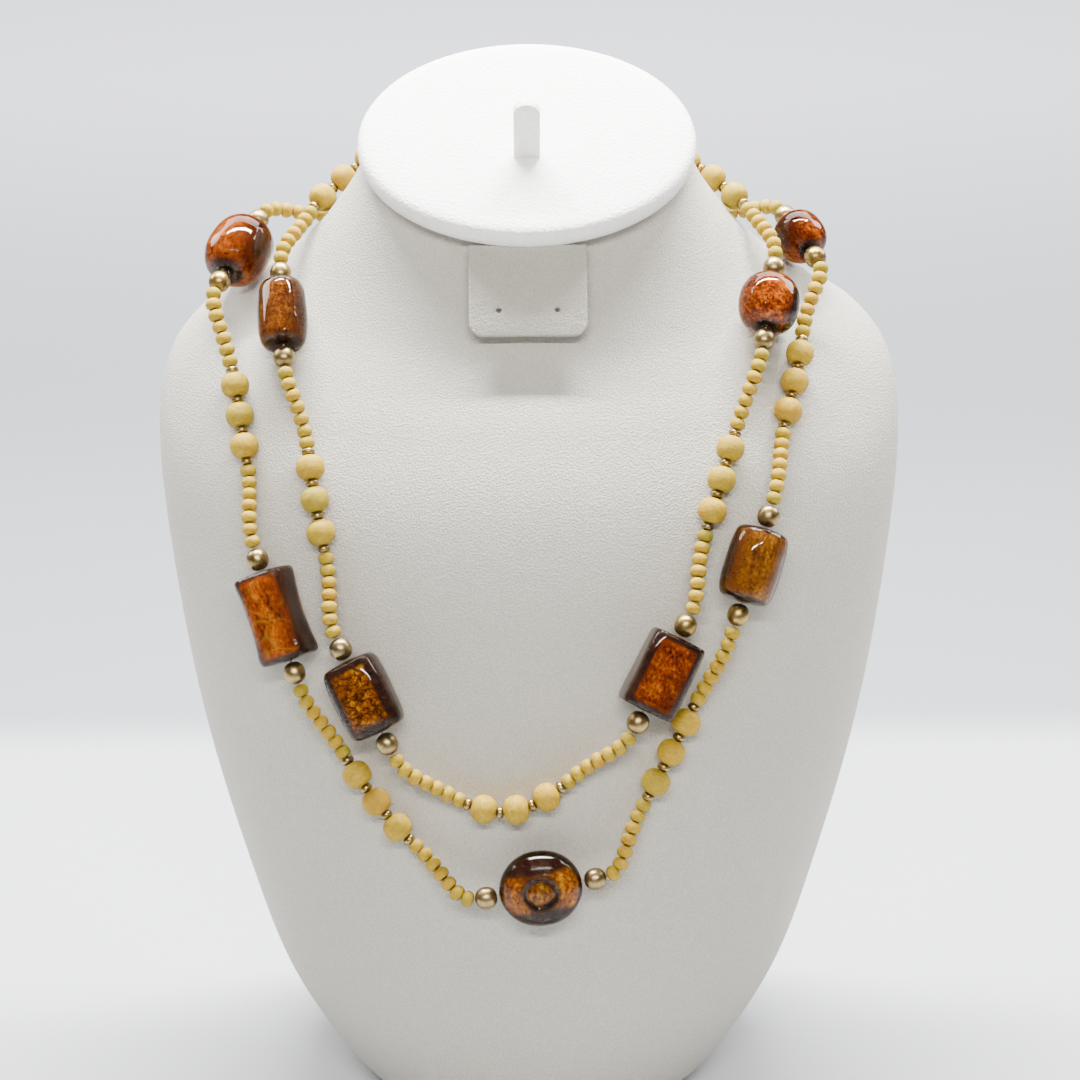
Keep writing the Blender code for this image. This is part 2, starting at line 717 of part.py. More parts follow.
def make_run(name, path, beads, before, after, material, group):
    """Bone beads and spacers on one stretch of thread that reaches into the glass at each end."""
    thread = THREAD_WIDTH / 2
    face = 0.05 * SMALL_PITCH
    rows = []
    for kind, _, start, end, radius in beads:
        rows += bead_profile(kind, start, end, radius)
    start = beads[0][2]
    end = beads[-1][3]
    rows.append((end, 0.62 * beads[-1][4]))
    rows = [(start - face, thread)] + rows + [(end + face, thread)]
    points = [(path.at(place)[0], radius) for place, radius in rows]
    points = [(before, thread)] + points + [(after, thread)]
    data = bpy.data.curves.new(name, "CURVE")
    data.dimensions = "3D"
    data.bevel_depth = 1.0
    data.bevel_resolution = RUN_RESOLUTION
    data.use_fill_caps = True
    spline = data.splines.new("POLY")
    spline.points.add(len(points) - 1)
    for point, (place, radius) in zip(spline.points, points):
        point.co = (*place, 1.0)
        point.radius = radius
    add_object(name, data, material, group)


def bead_placement(path, start, end):
    """Where a bead sits: its bore along the thread, its Y side away from the bust."""
    head, out_head = path.at(start)
    tail, out_tail = path.at(end)
    return frame_matrix((head + tail) / 2, tail - head, out_head + out_tail)


def make_string(path, materials, group):
    stations = list(path.stations())
    entries = {entry[0]: entry for entry in GLASS}
    glass_places = {}
    for kind, name, start, end, _ in stations:
        if kind == "glass":
            glass_places[name] = bead_placement(path, start, end)
            make_glass(entries[name], glass_places[name], materials["glass"], group)
    names = [entry[0] for entry in GLASS]
    balls = [station for station in stations if station[0] == "ball"]
    for index, (_, _, start, end, _) in enumerate(balls):
        make_ball(f"metal_ball_{index + 1:02d}", bead_placement(path, start, end),
                  materials["metal"], group)
    strung = [station for station in stations if station[0] in ("small", "medium", "spacer")]
    per_run = len(strung) // len(names)
    for index, name in enumerate(names):
        beads = strung[index * per_run:(index + 1) * per_run]
        following = names[(index + 1) % len(names)]
        reach_back = entries[name][1] / 2 - THREAD_REACH
        reach_on = THREAD_REACH - entries[following][1] / 2
        before = glass_places[name] @ Vector((0, 0, reach_back))
        after = glass_places[following] @ Vector((0, 0, reach_on))
        make_run(f"bead_run_{index + 1:02d}", path, beads, before, after,
                 materials["bone"], group)


def build():
    clear_scene()
    group = make_collection("beaded_necklace")
    leather = make_material("white_leatherette", (0.82, 0.81, 0.79), 0.55)
    materials = {
        "glass": make_material("amber_glass", (0.36, 0.12, 0.02), 0.08),
        "metal": make_material("antique_metal", (0.46, 0.39, 0.27), 0.35, 1.0),
        "bone": make_material("cream_bone", (0.80, 0.67, 0.40), 0.5),
    }
    make_bust(leather, group)
    make_oval("neck_band", BAND_WIDTH, BAND_DEPTH, BAND_THICKNESS, GAP, 0.0, leather, group)
    make_oval("neck_pad", PAD_WIDTH, PAD_DEPTH, PAD_THICKNESS, 2 * GAP + BAND_THICKNESS,
              PAD_ROUNDING, leather, group)
    make_flap(leather, group)
    make_tab(leather, group)
    make_string(lay_string(Skin()), materials, group)


build()
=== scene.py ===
"""Visual model of a beaded necklace on a neck bust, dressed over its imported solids.

Metres, +Z up, the chest faces -Y. The string is laid again from the same route as in the solids.
"""

import math

import bmesh
import bpy
import numpy as np
from mathutils import Matrix, Vector, noise
from mathutils.bvhtree import BVHTree


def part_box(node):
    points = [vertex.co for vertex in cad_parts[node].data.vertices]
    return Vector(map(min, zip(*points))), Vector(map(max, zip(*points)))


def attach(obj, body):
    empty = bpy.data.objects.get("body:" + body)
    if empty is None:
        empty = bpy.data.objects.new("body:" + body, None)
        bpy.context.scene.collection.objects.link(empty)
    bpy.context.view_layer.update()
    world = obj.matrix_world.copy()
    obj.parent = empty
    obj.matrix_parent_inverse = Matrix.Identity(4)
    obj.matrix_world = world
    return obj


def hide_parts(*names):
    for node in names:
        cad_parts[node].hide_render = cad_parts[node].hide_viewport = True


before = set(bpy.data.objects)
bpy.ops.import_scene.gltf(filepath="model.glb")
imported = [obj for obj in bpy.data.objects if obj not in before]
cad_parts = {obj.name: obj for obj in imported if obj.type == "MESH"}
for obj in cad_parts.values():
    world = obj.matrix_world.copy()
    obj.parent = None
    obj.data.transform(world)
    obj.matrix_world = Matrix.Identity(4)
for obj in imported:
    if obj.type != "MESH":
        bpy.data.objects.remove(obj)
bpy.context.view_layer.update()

# Camera, fitted to the oval top and to the outline of the bust
CAMERA_TARGET = (0.0, -0.035, 0.158)
CAMERA_DISTANCE = 0.650
CAMERA_PITCH = 20.0
CAMERA_ROLL = 0.45
CAMERA_LENS = 86.67
CAMERA_SHIFT = 0.0093
CAMERA_SENSOR = 36.0
CAMERA_NEAREST = 0.01
CAMERA_FARTHEST = 50.0

# Softboxes: place, aim, width, height, power in watts and colour
SOFTBOXES = {
    "overhead_strip": ((0.0, 0.15, 0.73), (0.0, 0.04, 0.20), 0.56, 0.040, 34.0, (1.0, 1.0, 0.99)),
    "front_strip": ((0.0, -0.95, 0.90), (0.0, -0.03, 0.10), 0.75, 0.040, 18.0, (1.0, 0.97, 0.93)),
    "left_side_box": ((-0.78, 0.42, 0.72), (-0.05, 0.0, 0.16), 0.50, 0.50, 14.0, (1.0, 0.99, 0.97)),
    "right_side_box": ((0.78, 0.42, 0.72), (0.05, 0.0, 0.16), 0.50, 0.50, 16.0, (1.0, 0.99, 0.97)),
    "far_softbox": ((0.0, 1.75, 1.9), (0.0, 1.75, 0.0), 2.8, 1.6, 150.0, (0.97, 0.98, 1.0)),
}
ROOM_COLOUR = (0.98, 0.98, 1.0)
ROOM_STRENGTH = 0.17

# The floor: its width, the line behind the bust where painted shade turns its tone darker and how far
# before and after that line the turn runs, then between which two lines painted light makes it light
# again
FLOOR_SIZE = 8.0
FLOOR_TURN = 0.19
FLOOR_TURN_BEFORE = 0.012
FLOOR_TURN_AFTER = 0.03
FLOOR_PAINTED_LIGHT = (0.5, 1.6)

# Driving sizes of the bust
BUST_WIDTH = 0.197
BUST_DEPTH = 0.122
BUST_HEIGHT = 0.2585

# The padded oval on the neck, with its band below and the tab for rings above
PAD_WIDTH = 0.089
PAD_DEPTH = 0.072
PAD_THICKNESS = 0.0055
BAND_WIDTH = 0.0872
BAND_DEPTH = 0.0672
BAND_THICKNESS = 0.0015
TAB_WIDTH = 0.0068
TAB_THICKNESS = 0.0026
TAB_HEIGHT = 0.0185
TAB_FORWARD = 0.008

# The card for earrings that hangs below the pad
FLAP_WIDTH = 0.0302
FLAP_LENGTH = 0.0235
FLAP_THICKNESS = 0.0018
FLAP_CORNER = 0.0035
FLAP_LEAN = 25.5
FLAP_TUCK = 0.0006
EARRING_HOLE = 0.0013
EARRING_HOLE_SPREAD = 0.0149
EARRING_HOLE_RISE = 0.0066

# Bone beads, metal spacers, metal balls and the thread through them
SMALL_WIDTH = 0.0043
SMALL_PITCH = 0.00317
SMALL_COUNT = 7
MEDIUM_WIDTH = 0.0075
MEDIUM_LENGTH = 0.0066
MEDIUM_COUNT = 3
SPACER_WIDTH = 0.0035
SPACER_LENGTH = 0.00185
BALL_WIDTH = 0.0058
BALL_LENGTH = 0.0056
THREAD_WIDTH = 0.0006
BORE_WIDTH = 0.0016

# Room between pieces, and between the beads and the chest
GAP = 0.0003
STRING_GAP = 0.00042
DRAPE_GAP = 0.0007

# Glass beads in their order along the string: name, length, width, thickness and form
GLASS = [
    ("glass_bottom_disc", 0.0214, 0.0204, 0.0124, "disc"),
    ("glass_right_barrel", 0.0195, 0.0155, 0.0148, "barrel"),
    ("glass_right_shoulder", 0.0134, 0.0142, 0.0142, "round"),
    ("glass_back_left", 0.0136, 0.0138, 0.0138, "round"),
    ("glass_left_tube", 0.0194, 0.0135, 0.0135, "barrel"),
    ("glass_left_pillow", 0.0200, 0.0155, 0.0130, "pillow"),
    ("glass_right_prism", 0.0205, 0.0150, 0.0136, "prism"),
    ("glass_right_round", 0.0162, 0.0164, 0.0164, "round"),
    ("glass_back_right", 0.0142, 0.0140, 0.0140, "round"),
    ("glass_left_lantern", 0.0196, 0.0177, 0.0177, "lantern"),
    ("glass_left_flared", 0.0237, 0.0150, 0.0128, "flared"),
]

# Level sections of the bust from the base up, as shares of its depth, height and half width:
# front y, front z, back y, back z, half width, place of the widest point, squareness
BUST_SECTIONS = [
    (-0.41, 0.000, 0.30, 0.000, 0.41, 0.52, 2.00),
    (-0.47, 0.015, 0.34, 0.015, 0.51, 0.52, 2.00),
    (-0.49, 0.050, 0.37, 0.050, 0.59, 0.53, 2.05),
    (-0.50, 0.125, 0.38, 0.125, 0.70, 0.54, 2.10),
    (-0.475, 0.23, 0.38, 0.230, 0.79, 0.55, 2.20),
    (-0.42, 0.37, 0.38, 0.370, 0.89, 0.57, 2.25),
    (-0.335, 0.50, 0.38, 0.520, 0.96, 0.60, 2.25),
    (-0.24, 0.62, 0.385, 0.66, 1.00, 0.63, 2.20),
    (-0.15, 0.69, 0.41, 0.745, 0.985, 0.65, 2.10),
    (-0.085, 0.73, 0.405, 0.805, 0.89, 0.65, 2.05),
    (-0.035, 0.76, 0.405, 0.845, 0.725, 0.64, 2.05),
    (-0.005, 0.785, 0.405, 0.88, 0.61, 0.63, 2.00),
    (0.02, 0.81, 0.415, 0.92, 0.525, 0.61, 2.00),
    (0.04, 0.84, 0.44, 0.96, 0.46, 0.59, 2.00),
    (0.057, 0.865, 0.50, 1.000, 0.43, 0.56, 2.00),
]

# The way of the string, from the bottom disc up the right side, round the neck,
# down the left side, across the chest, up again, round and back: shares of half the bust's width,
# of its depth and its height, then 1 where this strand passes over the other
ROUTE = [
    (0.02, -0.47, 0.284, 0),
    (0.14, -0.455, 0.294, 0),
    (0.235, -0.43, 0.330, 0),
    (0.32, -0.39, 0.385, 0),
    (0.40, -0.345, 0.441, 0),
    (0.47, -0.30, 0.490, 0),
    (0.545, -0.235, 0.570, 0),
    (0.60, -0.17, 0.627, 0),
    (0.665, -0.055, 0.705, 0),
    (0.70, 0.03, 0.745, 0),
    (0.72, 0.13, 0.782, 0),
    (0.715, 0.22, 0.808, 0),
    (0.665, 0.285, 0.829, 0),
    (0.60, 0.33, 0.847, 0),
    (0.53, 0.36, 0.855, 0),
    (0.45, 0.385, 0.860, 0),
    (0.375, 0.395, 0.871, 0),
    (0.31, 0.40, 0.890, 0),
    (0.25, 0.405, 0.912, 0),
    (0.18, 0.41, 0.932, 0),
    (0.08, 0.415, 0.947, 0),
    (-0.05, 0.415, 0.950, 0),
    (-0.20, 0.415, 0.947, 0),
    (-0.31, 0.40, 0.942, 0),
    (-0.40, 0.37, 0.925, 0),
    (-0.47, 0.34, 0.903, 0),
    (-0.52, 0.31, 0.882, 0),
    (-0.565, 0.26, 0.856, 0),
    (-0.603, 0.185, 0.820, 0),
    (-0.625, 0.095, 0.783, 0),
    (-0.61, 0.01, 0.747, 0),
    (-0.58, -0.07, 0.707, 0),
    (-0.545, -0.17, 0.640, 0),
    (-0.51, -0.235, 0.575, 0),
    (-0.47, -0.29, 0.510, 0),
    (-0.415, -0.33, 0.463, 0),
    (-0.335, -0.375, 0.410, 0),
    (-0.22, -0.41, 0.372, 0),
    (-0.08, -0.425, 0.353, 0),
    (0.04, -0.42, 0.368, 0),
    (0.15, -0.40, 0.402, 0),
    (0.25, -0.37, 0.437, 0),
    (0.325, -0.33, 0.483, 0),
    (0.40, -0.27, 0.557, 0),
    (0.45, -0.215, 0.613, 0),
    (0.50, -0.15, 0.664, 0),
    (0.55, -0.06, 0.715, 0),
    (0.59, 0.03, 0.757, 0),
    (0.61, 0.11, 0.790, 0),
    (0.605, 0.17, 0.813, 0),
    (0.575, 0.24, 0.845, 0),
    (0.54, 0.285, 0.867, 0),
    (0.49, 0.325, 0.892, 0),
    (0.43, 0.36, 0.912, 1),
    (0.355, 0.385, 0.918, 1),
    (0.28, 0.40, 0.905, 1),
    (0.21, 0.405, 0.886, 1),
    (0.13, 0.41, 0.870, 1),
    (0.0, 0.41, 0.862, 0),
    (-0.16, 0.405, 0.860, 0),
    (-0.34, 0.40, 0.862, 0),
    (-0.46, 0.385, 0.862, 0),
    (-0.55, 0.355, 0.855, 0),
    (-0.62, 0.32, 0.843, 0),
    (-0.68, 0.285, 0.826, 0),
    (-0.74, 0.225, 0.804, 0),
    (-0.78, 0.155, 0.780, 0),
    (-0.775, 0.08, 0.755, 0),
    (-0.755, 0.005, 0.724, 0),
    (-0.725, -0.09, 0.669, 0),
    (-0.68, -0.18, 0.590, 0),
    (-0.625, -0.245, 0.523, 0),
    (-0.555, -0.30, 0.456, 0),
    (-0.48, -0.35, 0.405, 0),
    (-0.40, -0.385, 0.364, 0),
    (-0.32, -0.415, 0.328, 0),
    (-0.23, -0.44, 0.299, 0),
    (-0.12, -0.46, 0.280, 0),
]

# How the string is worked out: points on it, the height that the drape turns about, two first
# guesses at the drape, how steeply a bead lifts it, how far beyond a glass bead it comes back to
# its way and the rounds that ease it there. For a crossing: how far apart on the string the two
# strands are, the room between them and the slope up to it. Last the skin that the string lies on
STRING_POINTS = 1600
DRAPE_PIVOT = 0.83
DRAPE_START = (1.0, 0.98)
LIFT_SLOPE = 0.3
BLEND_REACH = 0.013
EASING = 60
CROSSING_APART = 0.04
CROSSING_GAP = 0.0013
CROSSING_SLOPE = 0.55
SKIN_SIDES = 120
SKIN_STEPS = 5

# How finely the string is worked out: steps between two places of its way, rounds in which its
# height and its length settle, how often each row of values is evened, how far from a bead's middle
# it still lifts the thread, how far a crossing's slope may run and when the length is good enough
ROUTE_STEPS = 16
SETTLING_ROUNDS = 6
LENGTH_ROUNDS = 6
EVEN_SPOTS = 6
EVEN_OUTWARD = 10
EVEN_LINE = 3
EVEN_RISE = 24
EVEN_CROSSING = 12
BEAD_HOLD = 0.15
CROSSING_RUN = STRING_POINTS // 16
LENGTH_SLACK = SMALL_PITCH / 40

# Fineness and edges of the visible skins: inset and height of the bust's hem, then share of the
# half width and height of the band's and the pad's edge
BUST_SKIN_SIDES = 128
BUST_SKIN_STEPS = 8
OVAL_SKIN_SIDES = 144
BUST_HEM = [(0.004, 0.0), (0.0015, 0.0006), (0.0, 0.0022)]
BAND_PROFILE = [(0.90, 0.0), (0.992, 0.0), (1.0, 0.0003), (1.0, 0.0012), (0.992, 0.0015),
                (0.90, 0.0015)]
PAD_PROFILE = [(0.90, 0.0), (0.972, 0.0), (0.986, 0.0002), (0.996, 0.0009), (1.0, 0.0019),
               (0.999, 0.0029), (0.993, 0.0039), (0.982, 0.0047), (0.965, 0.0052), (0.94, 0.0055),
               (0.88, 0.0057), (0.75, 0.0058), (0.50, 0.0059), (0.25, 0.0059), (0.04, 0.0059)]

# Edges, holes and steps of the covered cards and the tab, how near two points are made one, and
# the angles in degrees past which an edge stays sharp
CARD_EDGE = 0.00035
CARD_EDGE_STEPS = 3
CARD_CORNER_STEPS = 10
TAB_TOP_STEPS = 20
HOLE_SIDES = 24
WELD_DISTANCE = 0.000005
LOFT_CREASE = 50
CARD_CREASE = 35
GLASS_CREASE = 60

# The beads' visible skins: bores, fineness, how far the clear skin and the foil lie inside the
# glass, and the places and depth of the lumps of hand-made glass
BEAD_BORE = 0.0012
BEAD_WELD = 0.000001
BORE_MOUTH = 0.97
GLASS_SKIN_SIDES = 48
GLASS_STEPS = 4
DISC_STEPS = 3
THREAD_EDGE_STEPS = 2
THREAD_STRIDE = 2
FOIL_MARGIN = 0.0009
SKIN_INSET = 0.0001
LUMP_RATE = 140.0
LUMP_DEPTH = 0.00022
LUMP_SPREAD = 900

# How each kind of small bead is turned; Fullness 1 is an ellipse and less is squarer
TURNED_BEADS = {
    "small": {"Bead Width": SMALL_WIDTH, "Bead Length": SMALL_PITCH, "Fullness": 0.84,
              "Smallest Size": 0.92, "Sides": 16, "Rows": 7, "Seed": 3},
    "medium": {"Bead Width": MEDIUM_WIDTH, "Bead Length": MEDIUM_LENGTH, "Fullness": 0.86,
               "Smallest Size": 0.95, "Sides": 28, "Rows": 13, "Seed": 5},
    "spacer": {"Bead Width": SPACER_WIDTH, "Bead Length": SPACER_LENGTH, "Fullness": 0.72,
               "Smallest Size": 0.90, "Sides": 18, "Rows": 8, "Seed": 8},
    "ball": {"Bead Width": BALL_WIDTH, "Bead Length": BALL_LENGTH, "Fullness": 0.9,
             "Smallest Size": 0.96, "Sides": 28, "Rows": 15, "Seed": 11},
}

# Half of each strung glass form: place along the bore, width, thickness and squareness
GLASS_SKINS = {
    "round": [(0.97, 0.16, 0.16, 2.0), (1.0, 0.26, 0.26, 2.0), (0.95, 0.46, 0.46, 2.0),
              (0.72, 0.80, 0.80, 2.0), (0.40, 0.955, 0.955, 2.0), (0.0, 1.0, 1.0, 2.0)],
    "barrel": [(0.97, 0.16, 0.16, 2.0), (1.0, 0.28, 0.28, 2.0), (0.985, 0.56, 0.56, 2.0),
               (0.90, 0.84, 0.84, 2.0), (0.60, 0.965, 0.965, 2.0), (0.0, 1.0, 1.0, 2.0)],
    "lantern": [(0.97, 0.14, 0.14, 2.0), (1.0, 0.26, 0.26, 2.0), (0.96, 0.46, 0.46, 2.0),
                (0.76, 0.78, 0.78, 2.0), (0.42, 0.955, 0.955, 2.0), (0.0, 1.0, 1.0, 2.0)],
    "pillow": [(0.97, 0.15, 0.17, 2.0), (1.0, 0.34, 0.32, 2.4), (0.985, 0.66, 0.60, 3.0),
               (0.90, 0.89, 0.84, 3.4), (0.60, 0.975, 0.96, 3.4), (0.0, 1.0, 1.0, 3.4)],
    "prism": [(0.97, 0.15, 0.17, 2.0), (1.0, 0.36, 0.34, 2.6), (0.99, 0.78, 0.74, 3.8),
              (0.93, 0.95, 0.92, 4.8), (0.60, 0.98, 0.98, 5.0), (0.0, 0.98, 1.0, 5.0)],
    "flared": [(0.97, 0.15, 0.18, 2.0), (1.0, 0.40, 0.36, 2.6), (0.985, 0.80, 0.70, 3.4),
               (0.90, 0.985, 0.92, 4.0), (0.50, 0.90, 0.98, 4.0), (0.0, 0.86, 1.0, 4.0)],
}

# Face of the flat disc from its middle to its rim: share of the radius and of half the thickness
DISC_PROFILE = [(0.01, 1.0), (0.13, 0.99), (0.24, 0.945), (0.30, 0.87), (0.335, 0.83),
                (0.37, 0.84), (0.43, 0.895), (0.48, 0.89), (0.53, 0.83), (0.60, 0.80),
                (0.72, 0.72), (0.85, 0.55), (0.95, 0.30), (1.0, 0.0)]

# How the foil looks in each glass bead; what a bead doesn't say it has from the plain one
# shading is how far painted shade darkens the foil towards the sides of its panel; deep, middle,
# light and gold are partly painted glints and shade on the crinkles
PLAIN_FOIL = {
    "seed": 0.0, "panel": (0.80, 0.84), "offset": 0.0, "streaks": (1.0, 1.0, 1.0),
    "crack_size": 0.5, "crack_share": 0.3, "crack_tone": (0.10, 0.02, 0.004), "rings": False,
    "shading": 0.75, "crack_width": 0.10,
    "deep": (0.055, 0.008, 0.001), "middle": (0.28, 0.045, 0.002), "light": (0.80, 0.19, 0.006),
    "gold": (1.0, 0.48, 0.03), "margin": (0.022, 0.007, 0.003), "tint": (0.96, 0.85, 0.70),
}
FOILS = {
    "glass_bottom_disc": {"seed": 3.1, "rings": True, "streaks": (0.5, 1.0, 1.2),
                          "deep": (0.09, 0.02, 0.002), "middle": (0.40, 0.12, 0.004),
                          "light": (0.90, 0.38, 0.012), "gold": (1.0, 0.66, 0.07),
                          "shading": 0.4},
    "glass_right_barrel": {"seed": 5.7, "panel": (0.92, 0.90), "streaks": (1.6, 1.6, 0.35),
                           "deep": (0.10, 0.032, 0.005), "middle": (0.32, 0.12, 0.012),
                           "light": (0.50, 0.21, 0.018), "gold": (0.95, 0.52, 0.07)},
    "glass_right_shoulder": {"seed": 8.2, "panel": (0.95, 0.93), "shading": 0.8},
    "glass_back_left": {"seed": 9.4, "panel": (0.9, 0.9)},
    "glass_left_tube": {"seed": 11.9, "panel": (0.95, 0.93), "streaks": (0.4, 0.4, 1.8),
                        "deep": (0.075, 0.022, 0.006), "middle": (0.20, 0.06, 0.008),
                        "light": (0.42, 0.14, 0.014), "gold": (0.95, 0.42, 0.035)},
    "glass_left_pillow": {"seed": 14.3, "panel": (0.70, 0.80), "crack_size": 0.34,
                          "crack_share": 0.90, "crack_tone": (0.03, 0.010, 0.002),
                          "crack_width": 0.14, "shading": 0.4,
                          "deep": (0.12, 0.03, 0.002), "middle": (0.45, 0.14, 0.004),
                          "light": (0.90, 0.38, 0.012), "gold": (1.0, 0.66, 0.06)},
    "glass_right_prism": {"seed": 17.6, "panel": (0.76, 0.88), "streaks": (0.5, 0.5, 1.5),
                          "shading": 0.45, "middle": (0.34, 0.058, 0.003)},
    "glass_right_round": {"seed": 19.8, "panel": (0.80, 0.94), "offset": 0.22, "shading": 0.35,
                          "light": (1.0, 0.24, 0.010), "gold": (1.0, 0.40, 0.03)},
    "glass_back_right": {"seed": 21.5, "panel": (0.85, 0.92)},
    "glass_left_lantern": {"seed": 24.2, "panel": (0.93, 0.90), "streaks": (0.3, 0.3, 1.6),
                           "shading": 0.75, "middle": (0.46, 0.10, 0.008)},
    "glass_left_flared": {"seed": 27.1, "panel": (0.80, 0.92), "crack_size": 1.5,
                          "crack_share": 0.35, "crack_tone": (1.0, 0.60, 0.06), "shading": 0.5,
                          "middle": (0.42, 0.085, 0.004),
                          "crack_width": 0.04},
}


def unit(vectors):
    """Each row of an array at length one."""
    return vectors / np.linalg.norm(vectors, axis=-1, keepdims=True)


def bust_rows(steps):
    """The bust's sections in metres, with steps - 1 smooth ones between each two."""
    half = BUST_WIDTH / 2
    scale = np.array([BUST_DEPTH, BUST_HEIGHT, BUST_DEPTH, BUST_HEIGHT, half, 1.0, 1.0])
    table = np.array(BUST_SECTIONS) * scale
    slope = np.gradient(table, axis=0)
    rows = []
    for index in range(len(table) - 1):
        for step in range(steps):
            rows.append(between(table, slope, index, step / steps))
    rows.append(table[-1])
    return rows


def between(points, slopes, index, share):
    """A point on the smooth curve from one row of points to the next."""
    after = (index + 1) % len(points)
    rest = 1 - share
    return (
        rest * rest * (1 + 2 * share) * points[index]
        + share * rest * rest * slopes[index]
        + share * share * (3 - 2 * share) * points[after]
        - share * share * rest * slopes[after]
    )


def bust_ring(row, sides):
    """Points round one section of the bust, from its right side over the back."""
    front_y, front_z, back_y, back_z, half, widest, squareness = row
    angle = 2 * np.pi * np.arange(sides) / sides
    power = 2 / squareness
    across = half * np.sign(np.cos(angle)) * np.abs(np.cos(angle)) ** power
    along = np.sign(np.sin(angle)) * np.abs(np.sin(angle)) ** power
    share = widest + np.where(along > 0, (1 - widest) * along, widest * along)
    depth = front_y + (back_y - front_y) * share
    height = front_z + (back_z - front_z) * share
    return np.column_stack([across, depth, height])


def seat_frame():
    """Middle, forward direction and upward direction of the tilted plane on top of the neck."""
    front_y, front_z, back_y, back_z = bust_rows(1)[-1][:4]
    front = Vector((0, front_y, front_z))
    back = Vector((0, back_y, back_z))
    forward = (front - back).normalized()
    return (front + back) / 2, forward, Vector((1, 0, 0)).cross(-forward)


def frame_matrix(origin, along, outward):
    """Placement whose Z runs along a direction and whose Y leans outward."""
    axis_z = Vector(along).normalized()
    axis_y = Vector(outward) - Vector(outward).dot(axis_z) * axis_z
    axis_y.normalize()
    axis_x = axis_y.cross(axis_z)
    turn = Matrix((axis_x, axis_y, axis_z)).transposed().to_4x4()
    return Matrix.Translation(Vector(origin)) @ turn


def skin_rings(rings, closed):
    """Mesh through rings of equally many points; open ends get a flat face."""
    mesh = bmesh.new()
    loops = [[mesh.verts.new(point) for point in ring] for ring in rings]
    count = len(loops[0])
    last = len(loops) if closed else len(loops) - 1
    for index in range(last):
        low = loops[index]
        high = loops[(index + 1) % len(loops)]
        for place in range(count):
            after = (place + 1) % count
            mesh.faces.new((low[place], low[after], high[after], high[place]))
    if not closed:
        mesh.faces.new(reversed(loops[0]))
        mesh.faces.new(loops[-1])
    bmesh.ops.recalc_face_normals(mesh, faces=mesh.faces)
    return mesh


def outline_arc(centre_x, centre_y, radius, start, end, steps):
    """Points on an arc, with angles in degrees."""
    angles = [math.radians(start + (end - start) * step / steps) for step in range(steps + 1)]
    return [(centre_x + radius * math.cos(a), centre_y + radius * math.sin(a)) for a in angles]


class Skin:
    """The smooth surface of the bust, which the string lies on."""

    def __init__(self):
        rings = [bust_ring(row, SKIN_SIDES) for row in bust_rows(SKIN_STEPS)]
        shape = skin_rings(rings, False)
        bmesh.ops.triangulate(shape, faces=shape.faces)
        shape.normal_update()
        shape.verts.ensure_lookup_table()
        shape.faces.ensure_lookup_table()
        self.points = [vert.co.copy() for vert in shape.verts]
        self.normals = [vert.normal.copy() for vert in shape.verts]
        self.faces = [[vert.index for vert in face.verts] for face in shape.faces]
        self.tree = BVHTree.FromPolygons(self.points, self.faces)
        shape.free()

    def below(self, place):
        """Nearest point of the skin and the smooth direction away from it."""
        spot, _, face, _ = self.tree.find_nearest(Vector(place))
        first, second, third = self.faces[face]
        start = self.points[first]
        side = self.points[second] - start
        other = self.points[third] - start
        away = spot - start
        area = side.cross(other)
        share_second = away.cross(other).dot(area) / area.dot(area)
        share_third = side.cross(away).dot(area) / area.dot(area)
        normal = self.normals[first] * (1 - share_second - share_third)
        normal += self.normals[second] * share_second + self.normals[third] * share_third
        return spot, normal.normalized()


def string_items():
    """Everything on the string in order, with its length and how high it lifts the thread."""
    items = []
    for name, length, _, thickness, _ in GLASS:
        items.append(("glass", name, length, thickness / 2))
        items.append(("gap", "", STRING_GAP, 0.0))
        items.append(("ball", "", BALL_LENGTH, BALL_WIDTH / 2))
        items.append(("gap", "", STRING_GAP, 0.0))
        items += [("small", "", SMALL_PITCH, SMALL_WIDTH / 2)] * SMALL_COUNT
        for _ in range(MEDIUM_COUNT):
            items.append(("spacer", "", SPACER_LENGTH, SPACER_WIDTH / 2))
            items.append(("medium", "", MEDIUM_LENGTH, MEDIUM_WIDTH / 2))
        items.append(("spacer", "", SPACER_LENGTH, SPACER_WIDTH / 2))
        items += [("small", "", SMALL_PITCH, SMALL_WIDTH / 2)] * SMALL_COUNT
        items.append(("gap", "", STRING_GAP, 0.0))
        items.append(("ball", "", BALL_LENGTH, BALL_WIDTH / 2))
        items.append(("gap", "", STRING_GAP, 0.0))
    return items


def route_curve(drop):
    """Closed smooth curve through the route, whose hanging part is stretched by drop."""
    table = np.array(ROUTE)
    hanging = table[:, 2] < DRAPE_PIVOT
    table[hanging, 2] = DRAPE_PIVOT - (DRAPE_PIVOT - table[hanging, 2]) * drop
    table = table * np.array([BUST_WIDTH / 2, BUST_DEPTH, BUST_HEIGHT, 1.0])
    reach = np.sqrt(np.linalg.norm((np.roll(table, -1, 0) - table)[:, :3], axis=1))
    reach = np.maximum(reach, 1e-6)[:, None]
    before = np.roll(reach, 1, 0)
    ahead = np.roll(table, -1, 0)
    behind = np.roll(table, 1, 0)
    rate = (table - behind) / before - (ahead - behind) / (before + reach)
    rate = rate + (ahead - table) / reach
    curve = []
    for index in range(len(table)):
        after = (index + 1) % len(table)
        slopes = {index: rate[index] * reach[index], after: rate_into(table, reach, index)}
        for step in range(ROUTE_STEPS):
            curve.append(between(table, slopes, index, step / ROUTE_STEPS))
    return even_points(np.array(curve), STRING_POINTS)


def rate_into(table, reach, index):
    """How fast the curve runs as it comes to the end of one stretch."""
    count = len(table)
    start = table[index]
    end = table[(index + 1) % count]
    beyond = table[(index + 2) % count]
    here = reach[index]
    there = reach[(index + 1) % count]
    return ((end - start) / here - (beyond - start) / (here + there) + (beyond - end) / there) * here


